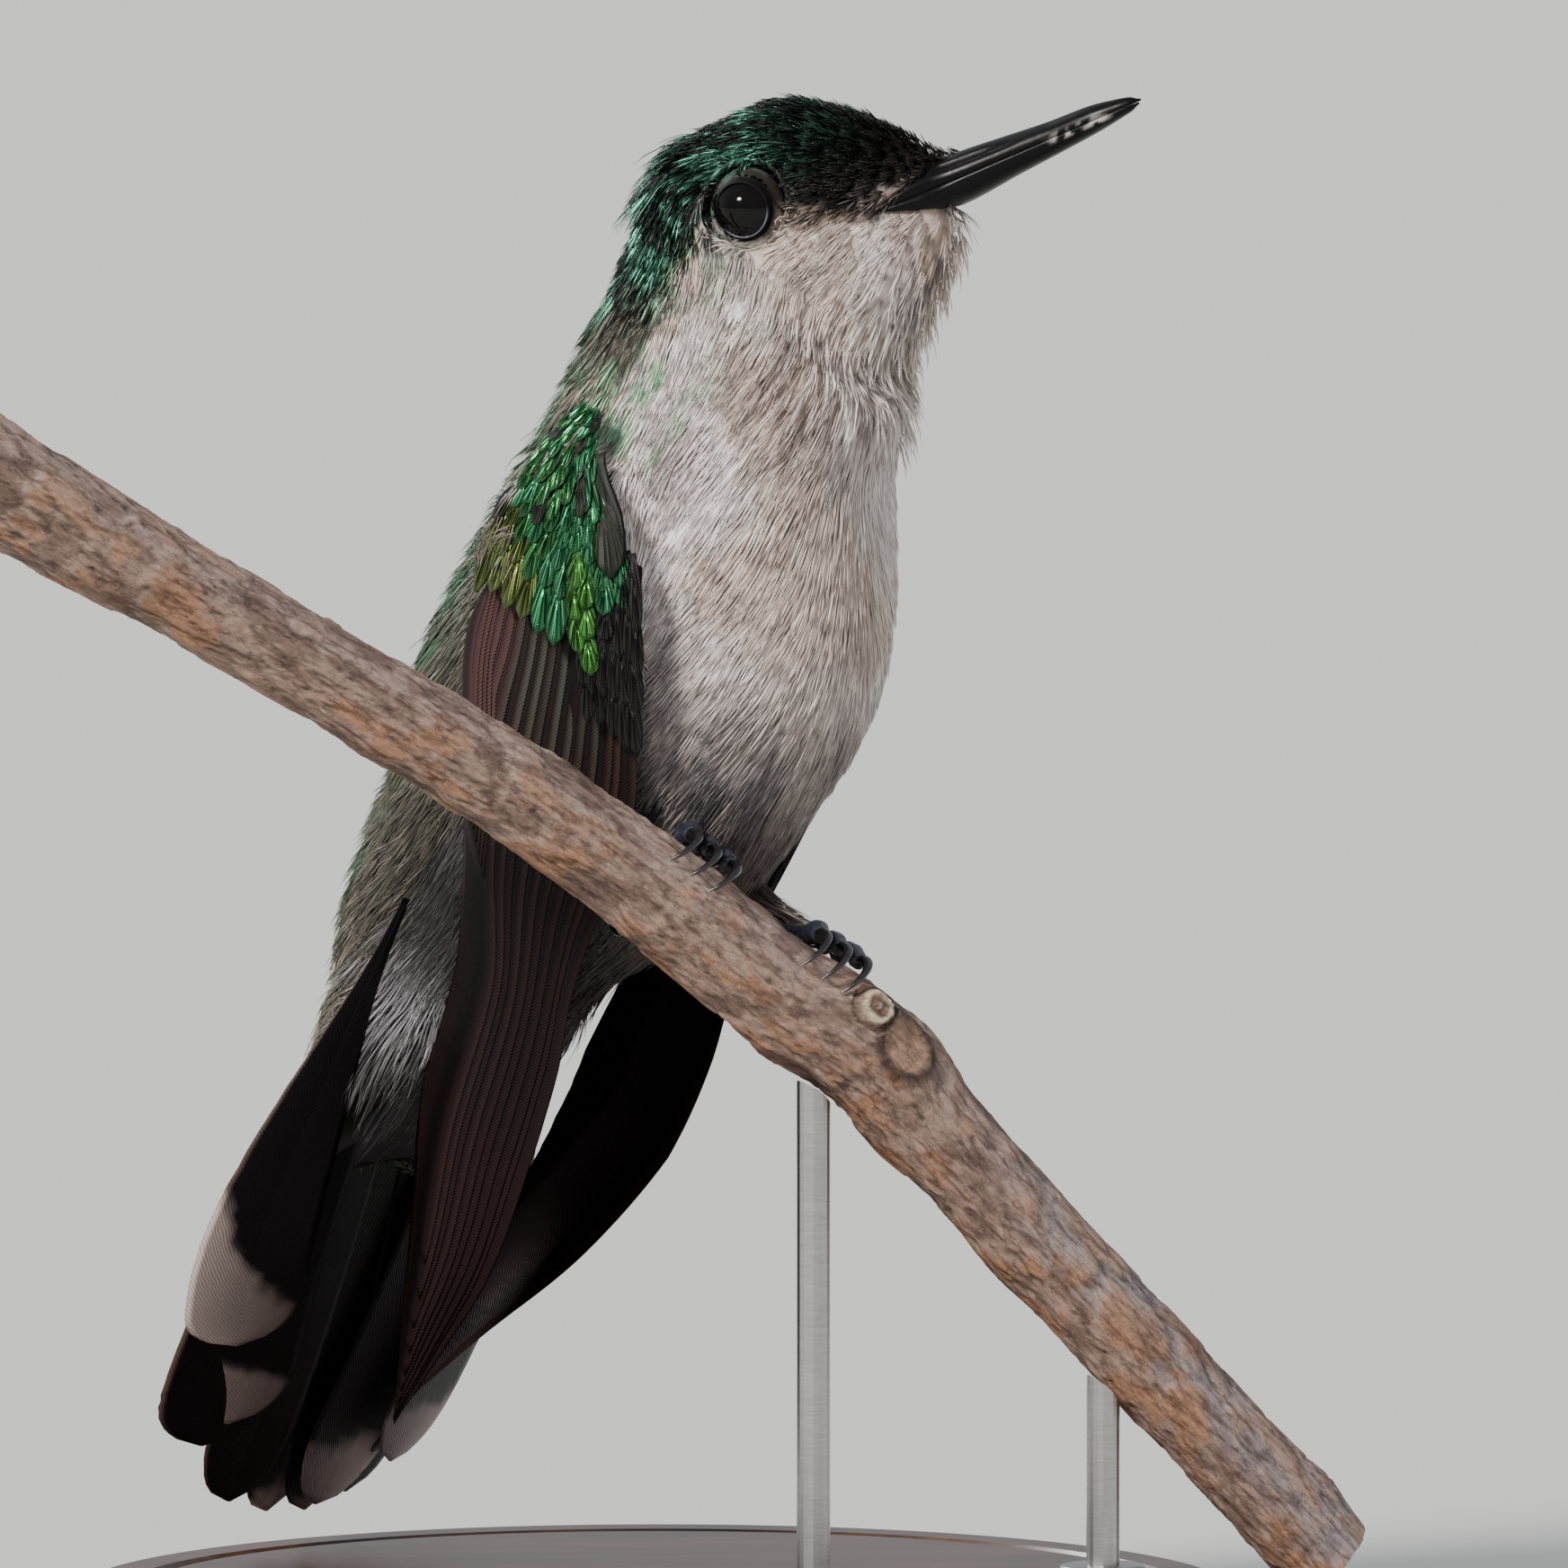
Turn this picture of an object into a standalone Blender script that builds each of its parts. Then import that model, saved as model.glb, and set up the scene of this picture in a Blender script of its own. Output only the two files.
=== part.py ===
"""Female Antillean crested hummingbird, life size, as a still display model.

The bird grips a short cut length of twig, which two slim rods hold above a flat
round base.  Sizes are in millimetres and turned into metres when a mesh is made.
The bird is laid out in its own frame: left, belly side, and headwards along the
trunk.  The head has a second frame: forwards along the bill, left and up.
"""
import math

import bmesh
import bpy
from mathutils import Euler, Matrix, Vector

MM = 0.001
GAP = 0.3                    # clearance between neighbouring solids

# Stand
BASE_RADIUS = 29.0
BASE_HEIGHT = 6.0
BASE_EDGE = 0.8              # rounding of the base's rim
BASE_SIDES = 64
ROD_RADIUS = 0.8
ROD_SIDES = 20
ROD_PLACES = {"stand_rod_tall": 7.6, "stand_rod_short": 21.5}    # where each meets the twig, in x

# Twig: centre line from its upper left end, round the knee, to its lower right end
TWIG_PATH = [(-32.6, -25.9, 61.7), (-20.5, -19.1, 54.1), (-11.5, -14.4, 48.4), (-1.7, -9.1, 41.5),
             (5.2, -5.6, 35.6), (10.7, -2.7, 31.4), (13.6, -1.3, 27.9), (32.4, 8.1, 6.6)]
TWIG_RADII = [2.9, 2.35, 2.35, 2.5, 2.7, 2.85, 2.5, 2.4]
TWIG_RINGS = 26
TWIG_ROUNDING = 5            # bevel resolution of the tube

# Pose of the trunk and of the head, in degrees
TRUNK_ORIGIN = Vector((1.7, 1.28, 54.03))
TRUNK_HEADING = -39.6
TRUNK_PITCH = 62.7
TRUNK_ROLL = 4.0
HEAD_HEADING = -20.4
HEAD_PITCH = 24.3
HEAD_ROLL = 4.0
HEAD_CENTRE = (0.0, -3.8, 17.8)      # in the trunk's frame

# Trunk sections: along, belly-side shift, half width, back radius, belly radius
TRUNK_SECTIONS = [(-24.0, -3.3, 7.0, 6.5, 5.2), (-21.0, -3.0, 7.3, 7.2, 6.2), (-17.0, -1.7, 7.9, 8.7, 7.9),
                  (-13.0, -0.8, 8.5, 10.1, 9.6), (-8.0, -0.2, 8.9, 11.0, 10.5), (-2.4, 0.3, 9.0, 10.9, 11.0),
                  (2.0, 0.2, 8.8, 10.1, 10.4), (5.5, -0.2, 8.3, 9.2, 9.2), (9.0, -1.0, 7.6, 8.3, 8.4)]
# Head sections: forwards, up shift, half width, crown radius, throat radius
HEAD_SECTIONS = [(0.5, -1.2, 6.1, 6.5, 8.9), (3.2, -1.3, 5.6, 6.4, 8.2), (5.6, -1.5, 4.3, 5.2, 6.3),
                 (7.6, -1.8, 2.8, 3.7, 4.4), (9.1, -2.0, 1.9, 2.1, 2.3)]
NECK_TURN = (0.16, 0.46)             # share of the turn from trunk to head at the two neck sections
HEAD_START_TURN = 0.78               # the same at the head's first section
NECK_SECTIONS = [(13.0, -1.5, 7.3, 7.9, 8.5), (16.4, -2.3, 7.0, 7.4, 9.3)]
NECK_TOP = 1.6               # station where the neck ends and the head starts
PART_CUT = 0.06              # share of a station left out where neck and head are parted
BODY_SIDES = 28
TRUNK_RINGS = 22
NECK_RINGS = 7
HEAD_RINGS = 17

# Tail base (coverts) and tail fan: along, belly-side shift, sideways shift, half width, half thickness
TAIL_BASE_SECTIONS = [(-24.3, -3.6, -0.1, 7.1, 5.6), (-28.0, -3.7, -0.6, 8.1, 3.5),
                      (-31.5, -3.5, -1.3, 9.0, 1.7), (-34.0, -3.2, -1.8, 9.5, 1.0)]
TAIL_SECTIONS = [(-34.3, -3.1, -1.9, 9.6, 0.9), (-38.0, -2.7, -2.4, 10.8, 0.5),
                 (-42.0, -2.2, -2.6, 11.2, 0.4), (-45.0, -1.9, -2.6, 10.8, 0.35),
                 (-47.6, -1.6, -2.7, 9.5, 0.3), (-49.6, -1.4, -2.7, 7.3, 0.28),
                 (-51.0, -1.2, -2.6, 4.6, 0.26), (-51.8, -1.1, -2.5, 2.0, 0.25)]
TAIL_ARCH = 1.0              # how far the tail's sides curl, for a half width of TAIL_REACH
TAIL_REACH = 10.0
TAIL_SIDES = 20
TAIL_LENS = 0.8              # power of the sine in its section: below 1 is fuller than an ellipse
TAIL_BASE_RINGS = 6
TAIL_RINGS = 15

# Folded wing: along, leading edge (out, belly side), trailing edge (out, belly side)
WING_SECTIONS = [(6.6, (8.3, -0.6), (8.6, -3.2)), (4.6, (9.3, 2.0), (8.9, -4.9)),
                 (0.0, (9.4, 4.2), (8.4, -6.4)), (-4.0, (8.8, 5.6), (8.6, -5.6)),
                 (-8.0, (7.9, 6.7), (8.9, -3.8)), (-12.0, (7.5, 6.9), (8.9, -2.0)),
                 (-16.0, (7.3, 6.9), (8.6, -0.2)), (-21.0, (7.0, 7.4), (7.2, 0.7)),
                 (-27.0, (6.1, 7.9), (5.9, 1.0)), (-34.0, (4.5, 7.3), (4.6, 2.2)),
                 (-40.0, (3.0, 5.5), (3.1, 2.6)), (-44.6, (2.2, 4.1), (2.1, 3.3))]
WING_SPLIT = -8.0            # where the coverts end and the flight feathers run on
COVERT_THICKNESS = 1.3
FLIGHT_THICKNESS = 0.75
WING_BULGE = 0.9             # outward bow of the folded wing across its width
WING_WIDE = 8.0              # narrower than this, the wing is bowed less
FAR_TIP_SHIFT = -2.4         # the left wing tip lies nearer to the tail
FAR_TIP_START = -28.0        # where that shift sets in
WING_FREE = -20.0            # below this the wing hangs free of the body
FREE_BELLY = -0.5            # the body's middle, from which the upper wing stands off
WING_EDGE = 0.55             # thickness of the wing's edges as a share of its middle
WING_STEPS = 7
COVERT_RINGS = 9
FLIGHT_RINGS = 19

# Eye
EYE_RADIUS = 1.7
EYE_PLACE = (1.1, 4.3, 0.55)        # forwards, out, up from the head's centre
EYE_SIDES = 16
EYE_RINGS = 10

# Bill: forwards, half width, height over the closing line, depth under it
BILL_SECTIONS = [(9.4, 1.75, 1.15, 1.2), (10.6, 1.5, 1.15, 1.15), (12.5, 1.25, 1.0, 0.95),
                 (15.0, 1.0, 0.8, 0.75), (17.2, 0.85, 0.72, 0.55), (18.6, 0.55, 0.5, 0.35),
                 (19.2, 0.35, 0.36, 0.25), (19.65, 0.16, 0.22, 0.2)]
BILL_LINE = -2.2             # height of the closing line at the bill's root, in the head's frame
BILL_DROOP = 0.03            # how much the closing line falls for each millimetre forwards
BILL_LOWER_END = 19.3
BILL_STEPS = 9
BILL_THINNEST = 0.12

# Feet: place along the twig's path in x, and the toes' sideways fan
TOE_RADIUS = 0.38
TOE_NARROW = 0.26            # where the toe runs into its claw
CLAW_RADIUS = 0.14
TARSUS_RADIUS = 0.5
FOOT_X = {"r": 0.6, "l": 6.8}
TOE_FAN = {"inner": -1.35, "middle": 0.0, "outer": 1.35}
TOE_ROOT_FAN = 0.62          # share of the fan at the toes' roots
TOE_ARCH = 0.35              # rise of a toe's middle off the bark
TOE_FRONT = (118.0, 60.0)    # angle round the twig, from its front, at a front toe's root and claw
TOE_HIND = (138.0, 222.0)    # the same for the hind toe
ANKLE = (128.0, 1.0)         # angle round the twig and lift of the ankle
TOE_POINTS = 8
FOOT_ROUNDING = 2
HIP_PLACE = {"r": (-4.8, 8.8, -12.0), "l": (2.8, 8.6, -14.6)}

COLOURS = {
    "plumage_pale": ((0.52, 0.45, 0.41, 1.0), 0.85, 0.0),
    "plumage_green": ((0.05, 0.16, 0.09, 1.0), 0.5, 0.3),
    "flight_feather": ((0.035, 0.022, 0.022, 1.0), 0.6, 0.0),
    "tail_feather": ((0.012, 0.01, 0.013, 1.0), 0.45, 0.0),
    "bill_horn": ((0.012, 0.011, 0.013, 1.0), 0.3, 0.0),
    "eye_glass": ((0.006, 0.005, 0.006, 1.0), 0.05, 0.0),
    "foot_scale": ((0.02, 0.022, 0.035, 1.0), 0.35, 0.0),
    "twig_bark": ((0.31, 0.22, 0.17, 1.0), 0.8, 0.0),
    "stand_wood": ((0.05, 0.03, 0.02, 1.0), 0.35, 0.0),
    "stand_steel": ((0.55, 0.54, 0.52, 1.0), 0.3, 1.0),
}


def pose_axes(heading, pitch, roll):
    """Forward, left and up directions of something that looks along a heading at a pitch."""
    turn = Euler((math.radians(roll), -math.radians(pitch), math.radians(heading)), "XYZ").to_matrix()
    return turn @ Vector((1, 0, 0)), turn @ Vector((0, 1, 0)), turn @ Vector((0, 0, 1))


TRUNK_AXIS, TRUNK_LEFT, TRUNK_BACK = pose_axes(TRUNK_HEADING, TRUNK_PITCH, TRUNK_ROLL)
HEAD_AXIS, HEAD_LEFT, HEAD_UP = pose_axes(HEAD_HEADING, HEAD_PITCH, HEAD_ROLL)


def blend(pair, share):
    """Value between the two of a pair."""
    return pair[0] + (pair[1] - pair[0]) * share


def trunk_point(left, belly, along):
    """World place, in millimetres, of a point given in the trunk's frame."""
    return TRUNK_ORIGIN + TRUNK_LEFT * left - TRUNK_BACK * belly + TRUNK_AXIS * along


def head_point(forward, left, up):
    """World place, in millimetres, of a point given in the head's frame."""
    return trunk_point(*HEAD_CENTRE) + HEAD_AXIS * forward + HEAD_LEFT * left + HEAD_UP * up


def smooth_value(stations, key, value):
    """Cubic blend through stations, which are tuples with their position first."""
    rows = sorted(stations, key=lambda row: row[0])
    place = [row[0] for row in rows]
    key = min(max(key, place[0]), place[-1])
    index = max(i for i in range(len(rows) - 1) if place[i] <= key)
    before = rows[max(index - 1, 0)]
    start = rows[index]
    end = rows[index + 1]
    after = rows[min(index + 2, len(rows) - 1)]
    span = end[0] - start[0]
    share = (key - start[0]) / span
    slope_start = (end[value] - before[value]) / (end[0] - before[0])
    slope_end = (after[value] - start[value]) / (after[0] - start[0])
    square = share * share
    cube = square * share
    return ((2 * cube - 3 * square + 1) * start[value] + (cube - 2 * square + share) * slope_start * span
            + (3 * square - 2 * cube) * end[value] + (cube - square) * slope_end * span)


def make_material(slot):
    """A Principled material with the slot's colour, roughness and metallic value."""
    material = bpy.data.materials.get(slot) or bpy.data.materials.new(slot)
    colour, roughness, metallic = COLOURS[slot]
    material.use_nodes = True
    material.diffuse_color = colour
    shader = material.node_tree.nodes["Principled BSDF"]
    shader.inputs["Base Color"].default_value = colour
    shader.inputs["Roughness"].default_value = roughness
    shader.inputs["Metallic"].default_value = metallic
    return material


def new_collection(name):
    """A collection linked to the scene."""
    collection = bpy.data.collections.new(name)
    bpy.context.scene.collection.children.link(collection)
    return collection


def place_mesh(name, mesh, slot, collection, smooth=True):
    """Link a mesh as a named node with its material."""
    mesh.materials.clear()
    mesh.materials.append(make_material(slot))
    if smooth:
        mesh.shade_smooth()
        mesh.set_sharp_from_angle(angle=math.radians(50))
    node = bpy.data.objects.new(name, mesh)
    collection.objects.link(node)
    return node


def loft(name, rings, slot, collection):
    """Closed skin over rings of equal length, given in millimetres, with flat ends."""
    mesh = bpy.data.meshes.new(name)
    shape = bmesh.new()
    rows = [[shape.verts.new(point * MM) for point in ring] for ring in rings]
    count = len(rows[0])
    for low, high in zip(rows, rows[1:]):
        for i in range(count):
            j = (i + 1) % count
            shape.faces.new((low[i], low[j], high[j], high[i]))
    shape.faces.new(list(reversed(rows[0])))
    shape.faces.new(rows[-1])
    bmesh.ops.recalc_face_normals(shape, faces=shape.faces)
    shape.to_mesh(mesh)
    shape.free()
    return place_mesh(name, mesh, slot, collection)


def subtract(node, cutter):
    """Cut one solid from another with an exact Boolean."""
    cutter.hide_render = True
    cutter.display_type = "WIRE"
    cut = node.modifiers.new("clearance", "BOOLEAN")
    cut.operation = "DIFFERENCE"
    cut.object = cutter


# ---------------------------------------------------------------- flesh

def trunk_section(along):
    """Centre, directions and radii of the trunk at a place along its axis."""
    shift, side, back, belly = (smooth_value(TRUNK_SECTIONS, along, i) for i in range(1, 5))
    return trunk_point(0, shift, along), TRUNK_LEFT, TRUNK_BACK, side, back, belly


def upper_stations():
    """Sections from the trunk's top, through the neck, to the face, as placed rings."""
    stations = [trunk_section(TRUNK_SECTIONS[-1][0])]
    for turn, (along, shift, side, back, belly) in zip(NECK_TURN, NECK_SECTIONS):
        left = TRUNK_LEFT.lerp(HEAD_LEFT, turn).normalized()
        up = TRUNK_BACK.lerp(HEAD_UP, turn).normalized()
        stations.append((trunk_point(0, shift, along), left, up, side, back, belly))
    for forward, up_shift, side, crown, throat in HEAD_SECTIONS:
        turn = HEAD_START_TURN if forward == HEAD_SECTIONS[0][0] else 1.0
        left = TRUNK_LEFT.lerp(HEAD_LEFT, turn).normalized()
        up = TRUNK_BACK.lerp(HEAD_UP, turn).normalized()
        stations.append((head_point(forward, 0, up_shift), left, up, side, crown, throat))
    return stations


def blend_station(stations, place):
    """Section at a fractional place between the upper stations, on a smooth curve."""
    rows = []
    for index, (centre, left, up, side, back, belly) in enumerate(stations):
        rows.append((float(index), *centre, *left, *up, side, back, belly))
    values = [smooth_value(rows, place, i) for i in range(1, 13)]
    centre = Vector(values[0:3])
    left = Vector(values[3:6]).normalized()
    up = Vector(values[6:9]).normalized()
    return centre, left, up, values[9], values[10], values[11]


def body_ring(section):
    """Egg-shaped ring of one section, from the left side over the back."""
    centre, left, up, side, back, belly = section
    ring = []
    for i in range(BODY_SIDES):
        angle = 2 * math.pi * i / BODY_SIDES
        rise = math.sin(angle)
        reach = back if rise > 0 else belly
        ring.append(centre + left * side * math.cos(angle) + up * reach * rise)
    return ring


def spread(start, end, count):
    """Evenly spaced values, both ends included."""
    return [start + (end - start) * i / (count - 1) for i in range(count)]


def make_flesh(parts, cutters):
    """Trunk, neck and head: one long egg form, parted by thin cuts."""
    places = spread(TRUNK_SECTIONS[0][0], TRUNK_SECTIONS[-1][0], TRUNK_RINGS)
    loft("trunk", [body_ring(trunk_section(a)) for a in places], "plumage_pale", parts)
    stations = upper_stations()
    places = spread(1.35 * PART_CUT, NECK_TOP, NECK_RINGS)
    loft("neck", [body_ring(blend_station(stations, p)) for p in places], "plumage_pale", parts)
    places = spread(NECK_TOP + 2 * PART_CUT, len(stations) - 1.0, HEAD_RINGS)
    head = [body_ring(blend_station(stations, p)) for p in places]
    head_node = loft("head", head, "plumage_green", parts)
    for suffix, side in (("r", -1), ("l", 1)):
        forward, out, up = EYE_PLACE
        place = head_point(forward, side * out, up)
        eye = ball("eye_" + suffix, place, EYE_RADIUS, "eye_glass", parts)
        socket = ball("socket_" + suffix, place, EYE_RADIUS + GAP, "eye_glass", cutters)
        subtract(head_node, socket)
        eye.data.shade_smooth()


def ball(name, place, radius, slot, collection):
    """A sphere whose poles look out to the sides."""
    mesh = bpy.data.meshes.new(name)
    shape = bmesh.new()
    bmesh.ops.create_uvsphere(shape, u_segments=EYE_SIDES, v_segments=EYE_RINGS, radius=radius * MM)
    bmesh.ops.rotate(shape, verts=shape.verts, matrix=HEAD_LEFT.to_track_quat("Z", "Y").to_matrix())
    bmesh.ops.translate(shape, verts=shape.verts, vec=place * MM)
    shape.to_mesh(mesh)
    shape.free()
    return place_mesh(name, mesh, slot, collection)


# ---------------------------------------------------------------- bill

def make_bill(parts):
    """Upper and lower bill, closed on each other."""
    for name, sign, column in (("bill_upper", 1, 2), ("bill_lower", -1, 3)):
        rings = []
        for row in BILL_SECTIONS:
            forward, half = row[0], row[1]
            if sign < 0 and forward > BILL_LOWER_END:
                continue
            rings.append(bill_ring(forward, half, row[column], sign))
        loft(name, rings, "bill_horn", parts)


def bill_ring(forward, half, reach, sign):
    """Half-round ring over or under the closing line."""
    flat = GAP / 2
    depth = max(reach - flat, BILL_THINNEST)
    ring = []
    for i in range(BILL_STEPS):
        angle = math.pi * i / (BILL_STEPS - 1)
        line = BILL_LINE - BILL_DROOP * (forward - BILL_SECTIONS[0][0])
        up = line + sign * (flat + depth * math.sin(angle))
        ring.append(head_point(forward, half * math.cos(angle), up))
    return ring


# ---------------------------------------------------------------- wings

def push_clear(out, belly, along, clearance):
    """Move a point outwards until it lies clear of the trunk or of the tail's base."""
    if along > TRUNK_SECTIONS[0][0]:
        shift, side, back, front = (smooth_value(TRUNK_SECTIONS, along, i) for i in range(1, 5))
    else:
        shift = smooth_value(TAIL_BASE_SECTIONS, along, 1)
        side = smooth_value(TAIL_BASE_SECTIONS, along, 3)
        back = front = smooth_value(TAIL_BASE_SECTIONS, along, 4)
        if along < TAIL_BASE_SECTIONS[-1][0]:
            return out, belly
    reach = front if belly > shift else back
    inside = math.hypot(out / (side + clearance), (belly - shift) / (reach + clearance))
    if inside < 1.0:
        out, belly = out / inside, shift + (belly - shift) / inside
    return out, belly


def wing_ring(along, side, thickness, far):
    """Thin closed section across the folded wing: inner face, then outer face."""
    rows = [(row[0], *row[1], *row[2]) for row in WING_SECTIONS]
    lead_out, lead_belly, trail_out, trail_belly = (smooth_value(rows, along, i) for i in range(1, 5))
    if far:
        slide = min(max((along - FAR_TIP_START) / (WING_SECTIONS[-1][0] - FAR_TIP_START), 0.0), 1.0)
        lead_belly += FAR_TIP_SHIFT * slide
        trail_belly += FAR_TIP_SHIFT * slide
    inner = []
    outer = []
    chord = math.hypot(lead_out - trail_out, lead_belly - trail_belly)
    for i in range(WING_STEPS):
        share = i / (WING_STEPS - 1)
        bow = WING_BULGE * min(chord / WING_WIDE, 1.0) * math.sin(math.pi * share)
        out = lead_out + (trail_out - lead_out) * share + bow
        belly = lead_belly + (trail_belly - lead_belly) * share
        out, belly = push_clear(out, belly, along, GAP + 0.15)
        edge = WING_EDGE if i in (0, WING_STEPS - 1) else 1.0
        away = Vector((out, belly - FREE_BELLY)) if along > WING_FREE else Vector((1.0, 0.0))
        away.normalize()
        inner.append(trunk_point(side * out, belly, along))
        thick = thickness * edge
        outer.append(trunk_point(side * (out + away.x * thick), belly + away.y * thick, along))
    return inner + list(reversed(outer))


def make_wing(suffix, side, parts):
    """Shoulder with coverts, and the blade of flight feathers, of one folded wing."""
    far = suffix == "l"
    top = WING_SECTIONS[0][0]
    tip = WING_SECTIONS[-1][0]
    places = spread(top, WING_SPLIT + GAP / 2, COVERT_RINGS)
    coverts = [wing_ring(a, side, COVERT_THICKNESS, far) for a in places]
    loft("wing_%s_coverts" % suffix, coverts, "plumage_green", parts)
    flight = []
    for a in spread(WING_SPLIT - GAP / 2, tip, FLIGHT_RINGS):
        share = (WING_SPLIT - a) / (WING_SPLIT - tip)
        thickness = COVERT_THICKNESS + (FLIGHT_THICKNESS - COVERT_THICKNESS) * min(share * 3, 1.0)
        flight.append(wing_ring(a, side, thickness, far))
    loft("wing_%s_flight" % suffix, flight, "flight_feather", parts)


# ---------------------------------------------------------------- tail

def tail_ring(row):
    """Lens-shaped ring across the tail, its sides curled to the belly side."""
    along, shift, sideways, half, thick = row
    ring = []
    for i in range(TAIL_SIDES):
        angle = 2 * math.pi * i / TAIL_SIDES
        across = math.cos(angle)
        lens = thick * math.copysign(abs(math.sin(angle)) ** TAIL_LENS, math.sin(angle))
        curl = TAIL_ARCH * (half / TAIL_REACH) * across * across
        ring.append(trunk_point(sideways + half * across, shift + curl - lens, along))
    return ring


def tail_rings(sections, count):
    """Evenly spaced rings through a table of tail sections."""
    places = spread(sections[0][0], sections[-1][0], count)
    return [tail_ring((a, *(smooth_value(sections, a, i) for i in range(1, 5)))) for a in places]


def make_tail(parts):
    """Coverts over the tail's base, and the rounded fan of tail feathers."""
    loft("tail_base", tail_rings(TAIL_BASE_SECTIONS, TAIL_BASE_RINGS), "plumage_pale", parts)
    loft("tail", tail_rings(TAIL_SECTIONS, TAIL_RINGS), "tail_feather", parts)


# ---------------------------------------------------------------- twig and feet

def path_curve(name, points, radii, depth, sides_level, slot, collection):
    """Round tube along points, with its own radius at each, as a curve with filled caps."""
    data = bpy.data.curves.new(name, "CURVE")
    data.dimensions = "3D"
    data.bevel_depth = depth * MM
    data.bevel_resolution = sides_level
    data.use_fill_caps = True
    spline = data.splines.new("POLY")
    spline.points.add(len(points) - 1)
    for point, place, radius in zip(spline.points, points, radii):
        point.co = (*(Vector(place) * MM), 1.0)
        point.radius = radius / depth
    data.materials.append(make_material(slot))
    node = bpy.data.objects.new(name, data)
    collection.objects.link(node)
    return node


def solid_from_curve(curve_object):
    """Swap a curve object for a mesh node of the same shape, with its caps welded on."""
    name = curve_object.name
    collection = curve_object.users_collection[0]
    graph = bpy.context.evaluated_depsgraph_get()
    mesh = bpy.data.meshes.new_from_object(curve_object.evaluated_get(graph))
    bpy.data.objects.remove(curve_object)
    shape = bmesh.new()
    shape.from_mesh(mesh)
    bmesh.ops.remove_doubles(shape, verts=shape.verts, dist=1e-6)
    bmesh.ops.recalc_face_normals(shape, faces=shape.faces)
    shape.to_mesh(mesh)
    shape.free()
    mesh.shade_smooth()
    mesh.set_sharp_from_angle(angle=math.radians(50))
    node = bpy.data.objects.new(name, mesh)
    collection.objects.link(node)
    return node


def twig_station(x):
    """Centre and radius of the twig where it crosses a given x."""
    rows = [(*point, radius) for point, radius in zip(TWIG_PATH, TWIG_RADII)]
    return Vector((x, smooth_value(rows, x, 1), smooth_value(rows, x, 2))), smooth_value(rows, x, 3)


def twig_tube(name, extra, collection):
    """The twig as a tube, made thicker all round by extra."""
    places = spread(TWIG_PATH[0][0], TWIG_PATH[-1][0], TWIG_RINGS)
    stations = [twig_station(x) for x in places]
    points = [centre for centre, radius in stations]
    radii = [radius + extra for centre, radius in stations]
    tube = path_curve(name, points, radii, TWIG_RADII[3], TWIG_ROUNDING, "twig_bark", collection)
    return solid_from_curve(tube)


def make_foot(suffix, parts):
    """Tarsus, three front toes over the twig and one hind toe behind it."""
    x = FOOT_X[suffix]
    centre, radius = twig_station(x)
    ahead = (twig_station(x + 1)[0] - twig_station(x - 1)[0]).normalized()
    front = Vector((0, -1, 0)) - ahead * Vector((0, -1, 0)).dot(ahead)
    front.normalize()
    over = front.cross(ahead).normalized()
    if over.z < 0:
        over = -over
    reach = radius + 1.15 * (GAP + TOE_RADIUS)

    def on_twig(slide, angle, lift=0.0):
        turn = math.radians(angle)
        return centre + ahead * slide + (over * math.sin(turn) + front * math.cos(turn)) * (reach + lift)

    shares = spread(0, 1, TOE_POINTS)
    radii = [TOE_RADIUS] * (TOE_POINTS - 2) + [TOE_NARROW, CLAW_RADIUS]
    lines = {"hind": [on_twig(0.0, blend(TOE_HIND, s), TOE_ARCH * math.sin(math.pi * s)) for s in shares]}
    for name, fan in TOE_FAN.items():
        lines[name] = [on_twig(fan * blend((TOE_ROOT_FAN, 1.0), s), blend(TOE_FRONT, s),
                               TOE_ARCH * math.sin(math.pi * s)) for s in shares]
    for name, points in lines.items():
        label = "toe_%s_%s" % (suffix, name)
        solid_from_curve(path_curve(label, points, radii, TOE_RADIUS, FOOT_ROUNDING, "foot_scale", parts))
    ankle = on_twig(0.0, *ANKLE)
    leg = path_curve("leg_" + suffix, [trunk_point(*HIP_PLACE[suffix]), ankle], [TARSUS_RADIUS] * 2,
                     TARSUS_RADIUS, FOOT_ROUNDING, "foot_scale", parts)
    return solid_from_curve(leg)


# ---------------------------------------------------------------- stand

def cylinder(name, radius, low, high, place, sides, slot, collection):
    """Upright cylinder between two heights."""
    mesh = bpy.data.meshes.new(name)
    shape = bmesh.new()
    bmesh.ops.create_cone(shape, cap_ends=True, segments=sides, radius1=radius * MM, radius2=radius * MM,
                          depth=(high - low) * MM)
    bmesh.ops.translate(shape, verts=shape.verts, vec=Vector((*place, (low + high) / 2)) * MM)
    shape.to_mesh(mesh)
    shape.free()
    return place_mesh(name, mesh, slot, collection)


def make_stand(parts, cutters):
    """Round base and two rods whose tops are saddled to the twig."""
    base = cylinder("stand_base", BASE_RADIUS, 0.0, BASE_HEIGHT, (0.0, 0.0), BASE_SIDES, "stand_wood", parts)
    rim = base.modifiers.new("rim", "BEVEL")
    rim.width = BASE_EDGE * MM
    rim.segments = 3
    rim.limit_method = "ANGLE"
    saddle = twig_tube("saddle", GAP, cutters)
    for name, x in ROD_PLACES.items():
        centre, radius = twig_station(x)
        place = (x, centre.y)
        rod = cylinder(name, ROD_RADIUS, BASE_HEIGHT + GAP, centre.z, place, ROD_SIDES, "stand_steel", parts)
        subtract(rod, saddle)


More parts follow.
